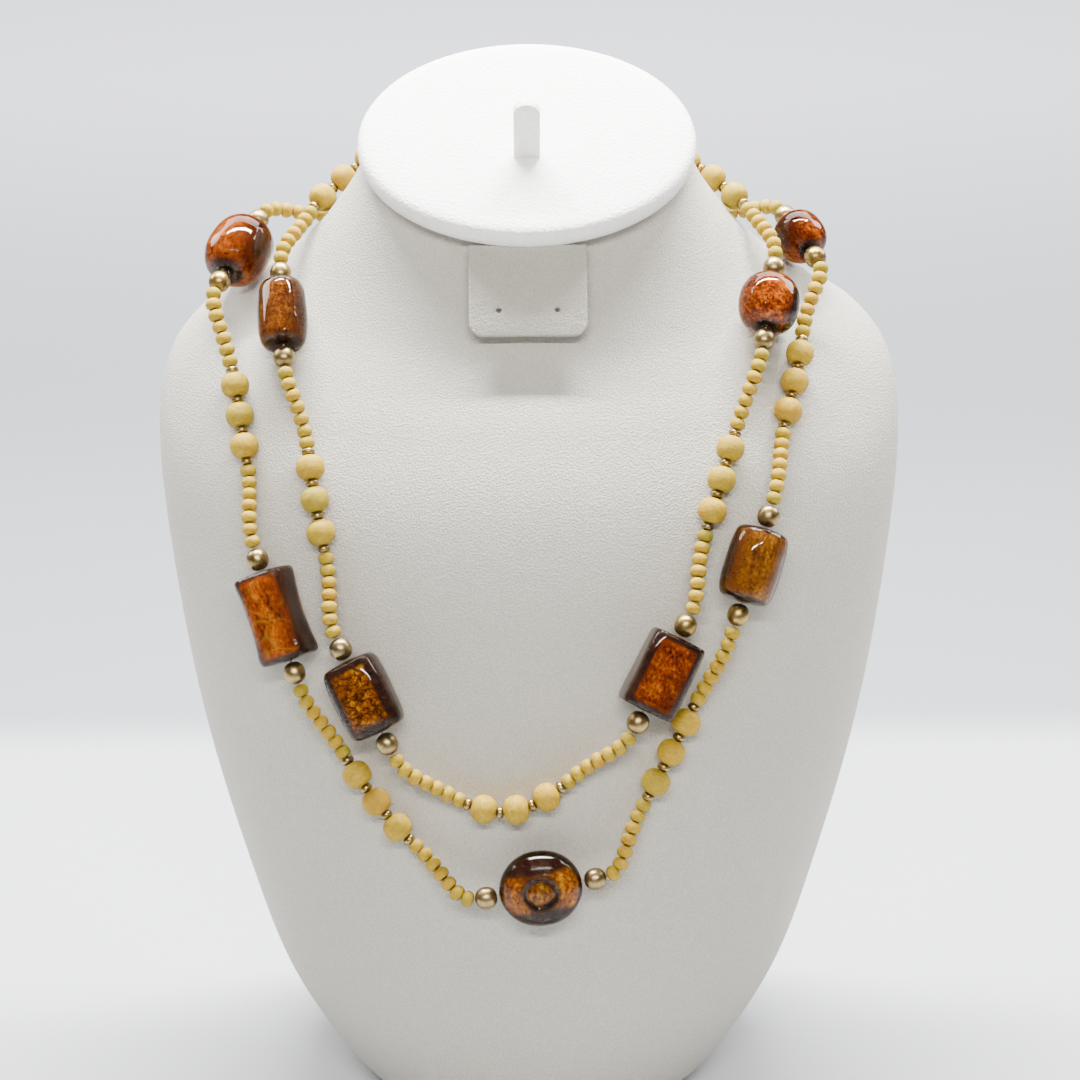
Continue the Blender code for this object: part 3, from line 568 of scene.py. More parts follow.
def even_points(points, count):
    """As many points as asked, evenly spaced along a closed curve."""
    ring = np.vstack([points, points[:1]])
    travelled = np.concatenate([[0], np.cumsum(np.linalg.norm(np.diff(ring[:, :3], axis=0), axis=1))])
    places = np.linspace(0, travelled[-1], count, endpoint=False)
    return np.column_stack([np.interp(places, travelled, column) for column in ring.T])


def smooth(values, times):
    """Each value moved towards its two neighbours, round the closed string."""
    for _ in range(times):
        values = (np.roll(values, 1, 0) + 2 * values + np.roll(values, -1, 0)) / 4
    return values


class StringPath:
    """The thread's middle line, laid over the bust with the beads' radii below it."""

    def __init__(self, skin, drop):
        curve = route_curve(drop)
        found = [skin.below(place) for place in curve[:, :3]]
        self.spots = smooth(np.array([spot for spot, _ in found]), EVEN_SPOTS)
        self.outward = unit(smooth(np.array([normal for _, normal in found]), EVEN_OUTWARD))
        self.upper = curve[:, 3] > 0.5
        self.items = string_items()
        self.need = sum(item[2] for item in self.items)
        self.line = self.spots + self.outward * SMALL_WIDTH
        self.measure()
        for _ in range(SETTLING_ROUNDS):
            rise = np.maximum(self.bead_rise(), self.crossing_rise())
            self.line = smooth(self.spots + self.outward * rise[:, None], EVEN_LINE)
            self.line = self.straight_at_glass()
            self.measure()

    def measure(self):
        """Length of the thread up to each of its points, and of the whole."""
        steps = np.linalg.norm(np.roll(self.line, -1, 0) - self.line, axis=1)
        self.travelled = np.concatenate([[0], np.cumsum(steps)])
        self.length = self.travelled[-1]

    def offset_from(self, place):
        """Distance along the string from a place to each point, the short way round."""
        return (self.travelled[:-1] - place + self.length / 2) % self.length - self.length / 2

    def straight_at_glass(self):
        """Lead the thread straight through each glass bead and the balls at its ends."""
        straightened = self.line.copy()
        eased = np.zeros(len(self.line))
        for kind, _, start, end, radius in self.stations():
            if kind != "glass":
                continue
            reach = (end - start) / 2 + BALL_LENGTH + 2 * STRING_GAP
            offset = self.offset_from((start + end) / 2)
            first = np.argmin(np.abs(offset + reach))
            last = np.argmin(np.abs(offset - reach))
            middle = np.argmin(np.abs(offset))
            direction = unit(self.line[last] - self.line[first])
            needed = np.where(np.abs(offset) < (end - start) / 2, radius, BALL_WIDTH / 2)
            along = (self.line - self.line[middle]) @ direction
            course = self.spots[middle] + direction * along[:, None]
            height = np.sum((course - self.spots) * self.outward, axis=1)
            lift = np.max((needed + DRAPE_GAP - height)[np.abs(offset) < reach])
            course = course + self.outward[middle] * lift
            share = np.clip((np.abs(offset) - reach) / BLEND_REACH, 0, 1)
            share = (1 + np.cos(np.pi * share))[:, None] / 2
            straightened = straightened * (1 - share) + course * share
            beyond = (np.abs(offset) - reach) / BLEND_REACH
            eased = np.maximum(eased, np.clip(np.minimum(beyond, 2 - beyond), 0, 1))
        for _ in range(EASING):
            straightened += (smooth(straightened, 1) - straightened) * eased[:, None]
        return straightened

    def stations(self):
        """Start and end of each item, measured along the string from the first bead's middle."""
        stretch = self.length / self.need
        place = -self.items[0][2] / 2
        for kind, name, length, radius in self.items:
            slack = (stretch - 1) * length / 2
            end = place + length * stretch
            yield kind, name, place + slack, end - slack, radius
            place = end

    def bead_rise(self):
        """How far each point of the thread is held off the bust by the beads near it."""
        rise = np.zeros(len(self.line))
        for kind, _, start, end, radius in self.stations():
            if kind == "gap":
                continue
            level = (end - start) * BEAD_HOLD
            if kind == "glass":
                level = (end - start + BLEND_REACH) / 2 + BALL_LENGTH
            away = np.abs(self.offset_from((start + end) / 2)) - level
            rise = np.maximum(rise, radius + DRAPE_GAP - LIFT_SLOPE * np.maximum(0, away))
        return np.maximum(smooth(rise, EVEN_RISE), SMALL_WIDTH / 2 + DRAPE_GAP)

    def girth(self):
        """Radius of the bead at each point of the thread."""
        radii = np.full(len(self.line), SPACER_WIDTH / 2)
        for _, _, start, end, radius in self.stations():
            here = np.abs(self.offset_from((start + end) / 2)) <= (end - start) / 2
            radii[here] = np.maximum(radii[here], radius)
        return radii

    def crossing_rise(self):
        """How far the upper strand is held off the bust where it passes over the other."""
        rise = np.zeros(len(self.line))
        radii = self.girth()
        for index in np.flatnonzero(self.upper):
            far = np.abs(self.offset_from(self.travelled[index])) > CROSSING_APART
            away = self.line[far] - self.spots[index]
            height = away @ self.outward[index]
            aside = np.sum(away * away, axis=1) - height ** 2
            room = (radii[far] + radii[index] + CROSSING_GAP) ** 2 - aside
            meets = room > 0
            if meets.any():
                rise[index] = np.max(height[meets] + np.sqrt(room[meets]))
        step = self.length / len(self.line) * CROSSING_SLOPE
        for _ in range(CROSSING_RUN):
            rise = np.maximum(rise, np.maximum(np.roll(rise, 1), np.roll(rise, -1)) - step)
        return smooth(rise, EVEN_CROSSING)

    def at(self, place):
        """Point of the thread at a distance along it, and the direction away from the bust."""
        place = place % self.length
        ring = np.vstack([self.line, self.line[:1]])
        out = np.vstack([self.outward, self.outward[:1]])
        point = [np.interp(place, self.travelled, column) for column in ring.T]
        normal = [np.interp(place, self.travelled, column) for column in out.T]
        return Vector(point), Vector(normal).normalized()


def lay_string(skin):
    """Let the hanging part down until the string is as long as what is threaded on it."""
    drop, before = DRAPE_START
    path = StringPath(skin, before)
    for _ in range(LENGTH_ROUNDS):
        spare = path.length - path.need
        path = StringPath(skin, drop)
        change = path.length - path.need - spare
        before, drop = drop, drop - (path.length - path.need) * (drop - before) / change
        if abs(path.length - path.need) < LENGTH_SLACK:
            break
    return path


class Value:
    """A number, vector or colour inside a node tree, which Python's operators work on."""

    def __init__(self, graph, socket):
        self.graph = graph
        self.socket = socket

    def sum_with(self, operation, first, second=None):
        values = {0: first} if second is None else {0: first, 1: second}
        return self.graph.node("ShaderNodeMath", {"operation": operation}, values)

    def __add__(self, other):
        return self.sum_with("ADD", self, other)

    def __sub__(self, other):
        return self.sum_with("SUBTRACT", self, other)

    def __rsub__(self, other):
        return self.sum_with("SUBTRACT", other, self)

    def __mul__(self, other):
        return self.sum_with("MULTIPLY", self, other)

    def __truediv__(self, other):
        return self.sum_with("DIVIDE", self, other)

    def __rtruediv__(self, other):
        return self.sum_with("DIVIDE", other, self)

    def __pow__(self, other):
        return self.sum_with("POWER", self, other)

    def __abs__(self):
        return self.sum_with("ABSOLUTE", self)

    __radd__ = __add__
    __rmul__ = __mul__

    def call(self, operation, other=None):
        """Any other sum of a Math node, such as a sine."""
        return self.sum_with(operation, self, other)


class Graph:
    """A node tree that is filled one node at a time."""

    def __init__(self, tree):
        self.tree = tree

    def node(self, kind, settings=None, values=None, output=0):
        """A node of that type, its settings made first, then its sockets' values or links."""
        made = self.tree.nodes.new(kind)
        for name, setting in (settings or {}).items():
            if name == "stops":
                self.set_stops(made.color_ramp, setting)
            else:
                setattr(made, name, setting)
        for name, value in (values or {}).items():
            self.feed(self.socket(made.inputs, name), value)
        return Value(self, self.socket(made.outputs, output))

    def socket(self, sockets, name):
        """The socket of that number or name that the node's settings leave in use."""
        if isinstance(name, int):
            return sockets[name]
        return next(each for each in sockets if each.name == name and each.enabled)

    def feed(self, socket, value):
        if isinstance(value, Value):
            self.tree.links.new(value.socket, socket)
        elif isinstance(value, tuple) and len(value) == 3 and socket.type == "RGBA":
            socket.default_value = (*value, 1.0)
        else:
            socket.default_value = value

    def set_stops(self, ramp, stops):
        while len(ramp.elements) < len(stops):
            ramp.elements.new(1.0)
        for element, (place, colour) in zip(ramp.elements, stops):
            element.position = place
            element.color = (*colour, 1.0)

    def join(self, x, y, z):
        return self.node("ShaderNodeCombineXYZ", values={"X": x, "Y": y, "Z": z})

    def split(self, vector):
        parts = self.node("ShaderNodeSeparateXYZ", values={"Vector": vector})
        return [Value(self, output) for output in parts.socket.node.outputs]

    def vector_sum(self, operation, first, second):
        return self.node("ShaderNodeVectorMath", {"operation": operation}, {0: first, 1: second})


class Finish(Graph):
    """The nodes of one material."""

    def __init__(self, name):
        self.material = bpy.data.materials.new(name)
        self.material.use_nodes = True
        super().__init__(self.material.node_tree)
        self.shader = self.tree.nodes["Principled BSDF"]

    def surface(self, values):
        for name, value in values.items():
            self.feed(self.shader.inputs[name], value)
        return self.material

    def place(self):
        return self.node("ShaderNodeTexCoord", output="Object")

    def kept(self, name, output="Vector"):
        """A value that the mesh keeps at its points."""
        return self.node("ShaderNodeAttribute", {"attribute_name": name}, output=output)

    def grain(self, place, size, detail=3.0, bend=0.0):
        """Soft random values between 0 and 1, in patches of about that size."""
        return self.node("ShaderNodeTexNoise", {}, {"Vector": place, "Scale": 1 / size,
                                                    "Detail": detail, "Distortion": bend})

    def cells(self, place, size, feature="F1"):
        return self.node("ShaderNodeTexVoronoi", {"feature": feature},
                         {"Vector": place, "Scale": 1 / size}, "Distance")

    def ramp(self, value, stops):
        return self.node("ShaderNodeValToRGB", {"stops": stops}, {"Fac": value})

    def blend(self, share, first, second):
        return self.node("ShaderNodeMix", {"data_type": "RGBA"},
                         {"Factor": share, "A": first, "B": second}, "Result")

    def fade(self, value, low, high):
        """0 below low, 1 above high and smooth between; the other way round if low is greater."""
        return self.node("ShaderNodeMapRange", {"interpolation_type": "SMOOTHSTEP"},
                         {"Value": value, "From Min": low, "From Max": high})

    def bump(self, height, strength, depth):
        return self.node("ShaderNodeBump", {}, {"Height": height, "Strength": strength,
                                                "Distance": depth})


def leatherette(name, bright, shade, pebble, roughness):
    """White leatherette with fine pebbled grain and soft clouding, and painted shade in the hollows
    and creases of the grain.
    """
    finish = Finish(name)
    place = finish.place()
    pebbles = finish.cells(place, pebble)
    creases = finish.grain(place, pebble * 0.6, 4.0)
    cloud = finish.grain(place, 0.045, 2.0)
    height = pebbles * 0.7 + creases * 0.6
    # Painted shade: colour darker where the grain is low, mixed with the leatherette's own soft
    # clouding
    tone = finish.fade(height, 0.30, 0.85) * 0.6 + cloud * 0.4
    return finish.surface({
        "Base Color": finish.blend(tone, shade, bright),
        "Roughness": creases * 0.16 + roughness,
        "Specular IOR Level": 0.35,
        "Normal": finish.bump(height, 0.8, 0.0003),
    })


def cream_bone(name, stretch):
    """Matt bone: each bead its own yellow, with fine rings and pores that hold a darker stain."""
    finish = Finish(name)
    tone = finish.kept("tone", "Fac")
    warmth = finish.kept("warmth", "Fac")
    local = finish.vector_sum("ADD", finish.kept("bead_place"),
                              finish.join(tone * 0.31, tone * 0.17, tone * 0.07))
    rings = finish.grain(finish.vector_sum("MULTIPLY", local, stretch), 0.0005, 2.0, 0.6)
    pores = finish.grain(local, 0.00035, 3.0)
    stain = finish.grain(local, 0.0022, 2.0)
    hue = finish.ramp(tone * 0.45 + warmth * 0.55, [
        (0.0, (0.28, 0.225, 0.010)), (0.22, (0.36, 0.26, 0.012)), (0.45, (0.42, 0.28, 0.013)),
        (0.72, (0.43, 0.27, 0.012)), (1.0, (0.40, 0.235, 0.010))])
    worn = finish.blend(finish.fade(rings, 0.60, 0.36) * 0.55, hue, (0.24, 0.12, 0.008))
    stained = finish.blend(finish.fade(stain, 0.56, 0.72) * 0.3, worn, (0.55, 0.38, 0.05))
    return finish.surface({
        "Base Color": finish.blend(finish.fade(pores, 0.45, 0.25) * 0.4, stained,
                                   (0.20, 0.10, 0.010)),
        "Roughness": pores * 0.2 + 0.48,
        "Specular IOR Level": 0.25,
        "Normal": finish.bump(rings * 0.7 + pores * 0.6, 0.8, 0.00014),
    })


def antique_metal(name, half_length):
    """Old gilt over silver: bright on the belly, brown patina in spots and round the bore."""
    finish = Finish(name)
    tone = finish.kept("tone", "Fac")
    local = finish.kept("bead_place")
    moved = finish.vector_sum("ADD", local, finish.join(tone * 0.4, tone * 0.2, tone * 0.1))
    patches = finish.grain(moved, 0.0018, 3.0, 0.4)
    spots = finish.grain(moved, 0.0006, 4.0)
    end = finish.fade(abs(finish.split(local)[2]), half_length * 0.62, half_length * 0.98)
    gilt = finish.ramp(tone, [(0.0, (0.28, 0.20, 0.08)), (0.35, (0.32, 0.20, 0.045)),
                              (0.65, (0.28, 0.21, 0.10)), (1.0, (0.24, 0.15, 0.028))])
    bright = finish.blend(finish.fade(patches, 0.40, 0.66) * 0.55, gilt, (0.46, 0.35, 0.16))
    dark = finish.fade(spots, 0.50, 0.34) * 0.5 + end * 0.45
    return finish.surface({
        "Base Color": finish.blend(dark, bright, (0.13, 0.09, 0.055)),
        "Metallic": 1.0,
        "Roughness": spots * 0.24 + end * 0.15 + 0.22,
        "Normal": finish.bump(spots * 0.7 + patches * 0.6, 0.35, 0.00006),
    })


def waxed_thread():
    """Fawn thread with a faint fuzz."""
    finish = Finish("waxed_thread")
    fuzz = finish.grain(finish.place(), 0.0004, 3.0)
    return finish.surface({
        "Base Color": finish.blend(fuzz, (0.22, 0.17, 0.11), (0.48, 0.40, 0.28)),
        "Roughness": fuzz * 0.2 + 0.6,
        "Normal": finish.bump(fuzz, 0.5, 0.0001),
    })


def paper_with_painted_shade_and_light():
    """Pale paper with painted shade, darker and a little cooler behind the bust, and painted light
    far off.
    """
    finish = Finish("paper_with_painted_shade_and_light")
    place = finish.place()
    # Painted shade: the floor turns darker and a little cooler behind the bust
    far = finish.fade(finish.split(place)[1], FLOOR_TURN - FLOOR_TURN_BEFORE,
                      FLOOR_TURN + FLOOR_TURN_AFTER)
    mottle = finish.grain(place, 0.2, 2.0)
    # Painted light: far off, the floor turns light again
    rise = finish.fade(finish.split(place)[1], *FLOOR_PAINTED_LIGHT)
    near_tone = finish.blend(mottle, (0.40, 0.41, 0.425), (0.43, 0.44, 0.455))
    painted_shade_far_tone = finish.blend(mottle, (0.235, 0.245, 0.26), (0.255, 0.265, 0.28))
    painted_light_far_off = finish.blend(rise, painted_shade_far_tone, (0.70, 0.71, 0.74))
    return finish.surface({
        "Base Color": finish.blend(far, near_tone, painted_light_far_off),
        "Roughness": 0.8,
        "Specular IOR Level": 0.1,
    })


def clear_amber(name, tint):
    """The clear skin of a glass bead, dipped in amber, with the faint waves of worked glass."""
    finish = Finish(name)
    waves = finish.grain(finish.place(), 0.004, 2.0)
    return finish.surface({
        "Base Color": tint,
        "Roughness": 0.02,
        "IOR": 1.33,
        "Transmission Weight": 1.0,
        "Normal": finish.bump(waves, 0.12, 0.0003),
    })


def crumpled_foil(name, look):
    """Copper foil laid in the glass: silk streaks, cracks or gold veins and dark bare margins, with
    painted glints and shade on its crinkles and painted shade towards the sides of its panel.
    """
    finish = Finish(name)
    local = finish.kept("bead_place")
    across, out, along = finish.split(local)
    moved = finish.vector_sum("ADD", local, (look["seed"], look["seed"] * 0.7, look["seed"] * 1.3))
    streaks = finish.grain(finish.vector_sum("MULTIPLY", moved, look["streaks"]), 0.5, 5.0, 0.8)
    blotches = finish.grain(moved, 0.75, 3.0, 1.2)
    flakes = finish.grain(moved, 0.11, 5.0, 0.6)
    wander = finish.join(flakes * 0.30 - across * 0.35, out * 0.4, along * 1.1 + flakes * 0.45)
    edges = finish.cells(finish.vector_sum("ADD", moved, wander), look["crack_size"],
                         "DISTANCE_TO_EDGE")
    cracks = finish.fade(edges, look["crack_width"], 0.0) * finish.fade(blotches, 0.34, 0.50)
    body = streaks * 0.36 + blotches * 0.20 + flakes * 0.44
    # Partly the foil's own mottled copper, partly painted glints and shade on its crinkles
    copper = finish.ramp(body, [
        (0.38, look["deep"]), (0.50, look["middle"]), (0.58, look["light"]), (0.66, look["gold"])])
    veined = finish.blend(cracks * look["crack_share"], copper, look["crack_tone"])
    ragged = (flakes - 0.5) * 0.16
    side = abs(across - look["offset"])
    # Painted shade: the foil darkens towards the sides of its panel
    depth = finish.fade(side, 0.15, look["panel"][0]) * look["shading"] + streaks * 0.3
    veined = finish.blend(depth, veined, look["deep"])
    sides = finish.fade(side + ragged, look["panel"][0] + 0.06, look["panel"][0] - 0.06)
    ends = finish.fade(abs(along) + ragged, look["panel"][1] + 0.06, look["panel"][1] - 0.06)
    panel = sides * ends
    if look["rings"]:
        radius = (across * across + along * along) ** 0.5
        button = finish.fade(radius, 0.34, 0.26)
        ring = finish.fade(abs(radius - 0.42), 0.0, 0.16)
        bands = finish.fade(abs(across) + ragged, 0.62, 0.44)
        bright = finish.fade(abs(along), 0.20, 0.62) * 0.7 + 0.3
        panel = bands * ring * bright + button * 0.22
        panel = panel * finish.fade(radius, 0.99, 0.90)
    return finish.surface({
        "Base Color": finish.blend(panel, look["margin"], veined),
        "Metallic": panel * 0.5,
        "Specular IOR Level": 0.05,
        "Roughness": flakes * 0.22 + 0.20,
        "Normal": finish.bump(flakes * 0.6 + cracks * look["crack_share"] + streaks, 1.0, 0.0006),
    })


def finished_mesh(name, data, material=None):
    """A smooth-shaded object at the origin, whose mesh holds its place."""
    thing = bpy.data.objects.new(name, data)
    bpy.context.scene.collection.objects.link(thing)
    if material:
        data.materials.append(material)
    data.shade_smooth()
    return thing


def dress(thing, slot, *nodes):
    """Tie a finished piece to the frame and hide the solids that it stands for; the slot argument is
    not used.
    """
    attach(thing, "root")
    if nodes:
        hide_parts(*nodes)
    return thing


def loft(name, rings, closed, material, crease=LOFT_CREASE):
    """A smooth skin through rings, sharp where it turns by more than crease in degrees."""
    data = bpy.data.meshes.new(name)
    shape = skin_rings(rings, closed)
    shape.to_mesh(data)
    shape.free()
    thing = finished_mesh(name, data, material)
    data.set_sharp_from_angle(angle=math.radians(crease))
    return thing


def dress_bust(material):
    """The leatherette skin of the chest and neck, its lower edge turned in round the base."""
    low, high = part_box("bust_body")
    rings = [np.clip(bust_ring(row, BUST_SKIN_SIDES), low, high)
             for row in bust_rows(BUST_SKIN_STEPS)]
    hem = []
    for inset, height in BUST_HEM:
        ring = rings[0] * (1 - inset / BUST_WIDTH, 1 - inset / BUST_DEPTH, 1.0)
        ring[:, 2] += height
        hem.append(ring)
    skin = loft("chest_leatherette", hem + rings[1:], False, material)
    dress(skin, "white_leatherette", "bust_body")


def oval_rings(width, depth, profile, lift):
    """Rings of an oval slab on the neck: shares of its half width and heights above its foot."""
    middle, forward, upward = seat_frame()
    angle = 2 * np.pi * np.arange(OVAL_SKIN_SIDES) / OVAL_SKIN_SIDES
    across = np.array((1.0, 0.0, 0.0)) * width / 2
    along = -np.array(forward) * depth / 2
    rings = []
    for share, height in profile:
        centre = np.array(middle + upward * (lift + height))
        rings.append(centre + share * (np.cos(angle)[:, None] * across
                                       + np.sin(angle)[:, None] * along))
    return rings


def dress_oval_top(material):
    """The padded oval with its rolled edge, and the thin band below it."""
    band = loft("neck_band_leatherette", oval_rings(BAND_WIDTH, BAND_DEPTH, BAND_PROFILE, GAP),
                False, material)
    dress(band, "white_leatherette", "neck_band")
    lift = 2 * GAP + BAND_THICKNESS
    pad = loft("neck_pad_leatherette", oval_rings(PAD_WIDTH, PAD_DEPTH, PAD_PROFILE, lift),
               False, material)
    dress(pad, "white_leatherette", "neck_pad")


def rolled_card(name, outlines, thickness, placement, material):
    """A covered card or tongue with rolled edges, from its outline and its holes."""
    data = bpy.data.curves.new(name, "CURVE")
    data.dimensions = "2D"
    data.fill_mode = "BOTH"
    data.extrude = thickness / 2 - CARD_EDGE
    data.bevel_depth = CARD_EDGE
    data.bevel_resolution = CARD_EDGE_STEPS
    data.offset = -CARD_EDGE
    for outline in outlines:
        spline = data.splines.new("POLY")
        spline.points.add(len(outline) - 1)
        for point, place in zip(spline.points, outline):
            point.co = (place[0], place[1], 0.0, 1.0)
        spline.use_cyclic_u = True
    made = bpy.data.objects.new(name, data)
    bpy.context.scene.collection.objects.link(made)
    graph = bpy.context.evaluated_depsgraph_get()
    mesh = bpy.data.meshes.new_from_object(made.evaluated_get(graph))
    bpy.data.objects.remove(made)
    mesh.transform(placement)
    shape = bmesh.new()
    shape.from_mesh(mesh)
    bmesh.ops.remove_doubles(shape, verts=shape.verts, dist=WELD_DISTANCE)
    bmesh.ops.recalc_face_normals(shape, faces=shape.faces)
    shape.to_mesh(mesh)
    shape.free()
    thing = finished_mesh(name, mesh, material)
    mesh.set_sharp_from_angle(angle=math.radians(CARD_CREASE))
    return thing


def dress_flap(material):
    """The earring card with its two pierced holes."""
    half = FLAP_WIDTH / 2 - FLAP_CORNER
    low = FLAP_CORNER - FLAP_LENGTH
    outline = outline_arc(-half, low, FLAP_CORNER, 180, 270, CARD_CORNER_STEPS)
    outline += outline_arc(half, low, FLAP_CORNER, 270, 360, CARD_CORNER_STEPS)
    outline += [(FLAP_WIDTH / 2, 0.0), (-FLAP_WIDTH / 2, 0.0)]
    outlines = [outline]
    for side in (-1, 1):
        outlines.append(outline_arc(side * EARRING_HOLE_SPREAD / 2, EARRING_HOLE_RISE - FLAP_LENGTH,
                                    EARRING_HOLE / 2, 0, 360 - 360 / HOLE_SIDES,
                                    HOLE_SIDES - 1))
    middle, forward, upward = seat_frame()
    back_face = middle + forward * (BAND_DEPTH / 2 + GAP) + upward * (BAND_THICKNESS - FLAP_TUCK)
    lean = math.radians(FLAP_LEAN)
    rise = Vector((0, math.sin(lean), math.cos(lean)))
    outward = Vector((0, -math.cos(lean), math.sin(lean)))
    turn = Matrix((Vector((1, 0, 0)), rise, outward)).transposed().to_4x4()
    placement = Matrix.Translation(back_face + outward * FLAP_THICKNESS / 2) @ turn
    flap = rolled_card("earring_card", outlines, FLAP_THICKNESS, placement, material)
    dress(flap, "white_leatherette", "earring_flap")


def dress_tab(material):
    """The ring tab, a round-topped tongue whose foot is sunk a little into the pad."""
    radius = TAB_WIDTH / 2
    outline = outline_arc(0.0, TAB_HEIGHT - radius, radius, 0, 180, TAB_TOP_STEPS)
    outline += [(-radius, -3 * GAP), (radius, -3 * GAP)]
    middle, forward, upward = seat_frame()
    foot = middle + forward * TAB_FORWARD + upward * (BAND_THICKNESS + PAD_THICKNESS + 3 * GAP)
    turn = Matrix((Vector((1, 0, 0)), upward, forward)).transposed().to_4x4()
    tab = rolled_card("ring_tongue", [outline], TAB_THICKNESS, Matrix.Translation(foot) @ turn,
                      material)
    dress(tab, "white_leatherette", "ring_tab")


def bead_tree():
    """Tree that sets a turned, bored bead on every point of a string of points."""
    tree = bpy.data.node_groups.new("string_of_beads", "GeometryNodeTree")
    wanted = [("String", "Geometry"), ("Bead Width", "Float"), ("Bead Length", "Float"),
              ("Bore Width", "Float"), ("Fullness", "Float"), ("Smallest Size", "Float"),
              ("Sides", "Int"), ("Rows", "Int"), ("Seed", "Int"), ("Finish", "Material")]
    for label, kind in wanted:
        tree.interface.new_socket(name=label, in_out="INPUT", socket_type="NodeSocket" + kind)
    tree.interface.new_socket(name="Beads", in_out="OUTPUT", socket_type="NodeSocketGeometry")
    graph = Graph(tree)
    entry = graph.node("NodeGroupInput").socket.node
    given = {label: Value(graph, entry.outputs[label]) for label, _ in wanted}
    grid = graph.node("GeometryNodeMeshGrid", {}, {
        "Size X": 1.0, "Size Y": 1.0, "Vertices X": given["Sides"] + 1,
        "Vertices Y": given["Rows"] + 1})
    column, row, _ = graph.split(graph.node("GeometryNodeInputPosition"))
    turn = column * (2 * math.pi)
    share = (row + 0.5) * given["Rows"] / (given["Rows"] - 1)
    # The grid's last row goes back to the first mouth, so that its last strip is the bore
    share = share * share.call("LESS_THAN", 1.01)
    fullness = given["Fullness"]
    mouth = ((given["Bore Width"] / given["Bead Width"]) ** (1 / fullness)).call("ARCSINE")
    angle = mouth + (math.pi - 2 * mouth) * share
    radius = angle.call("SINE") ** fullness * given["Bead Width"] / 2
    cosine = angle.call("COSINE")
    rise = cosine.call("SIGN") * abs(cosine) ** fullness
    rise = rise * given["Bead Length"] / 2 / mouth.call("COSINE") ** fullness
    place = graph.join(radius * turn.call("COSINE"), radius * turn.call("SINE"), rise)
    shaped = graph.node("GeometryNodeSetPosition", {}, {"Geometry": grid, "Position": place})
    welded = graph.node("GeometryNodeMergeByDistance", {}, {"Geometry": shaped,
                                                               "Distance": BEAD_WELD})
    marked = graph.node("GeometryNodeStoreNamedAttribute", {"data_type": "FLOAT_VECTOR"}, {
        "Geometry": welded, "Name": "bead_place",
        "Value": graph.node("GeometryNodeInputPosition")})
    chance = graph.node("FunctionNodeRandomValue", {"data_type": "FLOAT"}, {
        "Min": 0.0, "Max": 1.0, "Seed": given["Seed"]}, "Value")
    toned = graph.node("GeometryNodeStoreNamedAttribute", {"data_type": "FLOAT"}, {
        "Geometry": given["String"], "Name": "tone", "Value": chance})
    size = graph.node("FunctionNodeRandomValue", {"data_type": "FLOAT"}, {
        "Min": given["Smallest Size"], "Max": 1.0, "Seed": given["Seed"] + 7}, "Value")
    axes = {name: graph.node("GeometryNodeInputNamedAttribute", {"data_type": "FLOAT_VECTOR"},
                             {"Name": name}, "Attribute") for name in ("course", "outward")}
    rotation = graph.node("FunctionNodeAxesToRotation",
                          {"primary_axis": "Z", "secondary_axis": "Y"},
                          {"Primary Axis": axes["course"], "Secondary Axis": axes["outward"]})
    strung = graph.node("GeometryNodeInstanceOnPoints", {}, {
        "Points": toned, "Instance": marked, "Rotation": rotation,
        "Scale": graph.join(size, size, 1.0)})
    real = graph.node("GeometryNodeRealizeInstances", {}, {"Geometry": strung})
    smooth_beads = graph.node("GeometryNodeSetShadeSmooth", {}, {"Geometry": real})
    painted = graph.node("GeometryNodeSetMaterial", {}, {
        "Geometry": smooth_beads, "Material": given["Finish"]})
    closing = tree.nodes.new("NodeGroupOutput")
    tree.links.new(painted.socket, closing.inputs["Beads"])
    return tree


def string_points(path, kind):
    """Points at the middle of each bead of one kind, with the thread's course at each."""
    beads = [station for station in path.stations() if station[0] == kind]
    ends = [(path.at(start), path.at(end)) for _, _, start, end, _ in beads]
    middles = [(head[0] + tail[0]) / 2 for head, tail in ends]
    courses = [(tail[0] - head[0]).normalized() for head, tail in ends]
    outs = [(head[1] + tail[1]).normalized() for head, tail in ends]
    data = bpy.data.meshes.new(kind)
    data.from_pydata(middles, [], [])
    for name, vectors in (("course", courses), ("outward", outs)):
        layer = data.attributes.new(name, "FLOAT_VECTOR", "POINT")
        layer.data.foreach_set("vector", np.array(vectors).ravel())
    warmth = data.attributes.new("warmth", "FLOAT", "POINT")
    middle = (SMALL_COUNT - 1) / 2
    warmth.data.foreach_set("value", [1 - abs(index % SMALL_COUNT - middle) / middle
                                      for index in range(len(beads))])
    return data


def string_beads(name, path, kind, tree, material):
    """All beads of one kind as one mesh."""
    thing = bpy.data.objects.new(name, string_points(path, kind))
    bpy.context.scene.collection.objects.link(thing)
    stringing = thing.modifiers.new("stringing", "NODES")
    stringing.node_group = tree
    values = {**TURNED_BEADS[kind], "Bore Width": BEAD_BORE, "Finish": material}
    for item in tree.interface.items_tree:
        if item.name in values:
            stringing[item.identifier] = values[item.name]
    graph = bpy.context.evaluated_depsgraph_get()
    mesh = bpy.data.meshes.new_from_object(thing.evaluated_get(graph), depsgraph=graph,
                                           preserve_all_data_layers=True)
    thing.modifiers.clear()
    bpy.data.objects.remove(thing)
    return finished_mesh(name, mesh)


def dress_thread(path, material):
    """The thread, which shows between the beads."""
    data = bpy.data.curves.new("thread", "CURVE")
    data.dimensions = "3D"
    data.bevel_depth = THREAD_WIDTH / 2
    data.bevel_resolution = THREAD_EDGE_STEPS
    spline = data.splines.new("POLY")
    places = path.line[::THREAD_STRIDE]
    spline.points.add(len(places) - 1)
    for point, place in zip(spline.points, places):
        point.co = (*place, 1.0)
    spline.use_cyclic_u = True
    made = bpy.data.objects.new("thread", data)
    bpy.context.scene.collection.objects.link(made)
    graph = bpy.context.evaluated_depsgraph_get()
    mesh = bpy.data.meshes.new_from_object(made.evaluated_get(graph))
    bpy.data.objects.remove(made)
    dress(finished_mesh("bead_thread", mesh, material), "cream_bone")


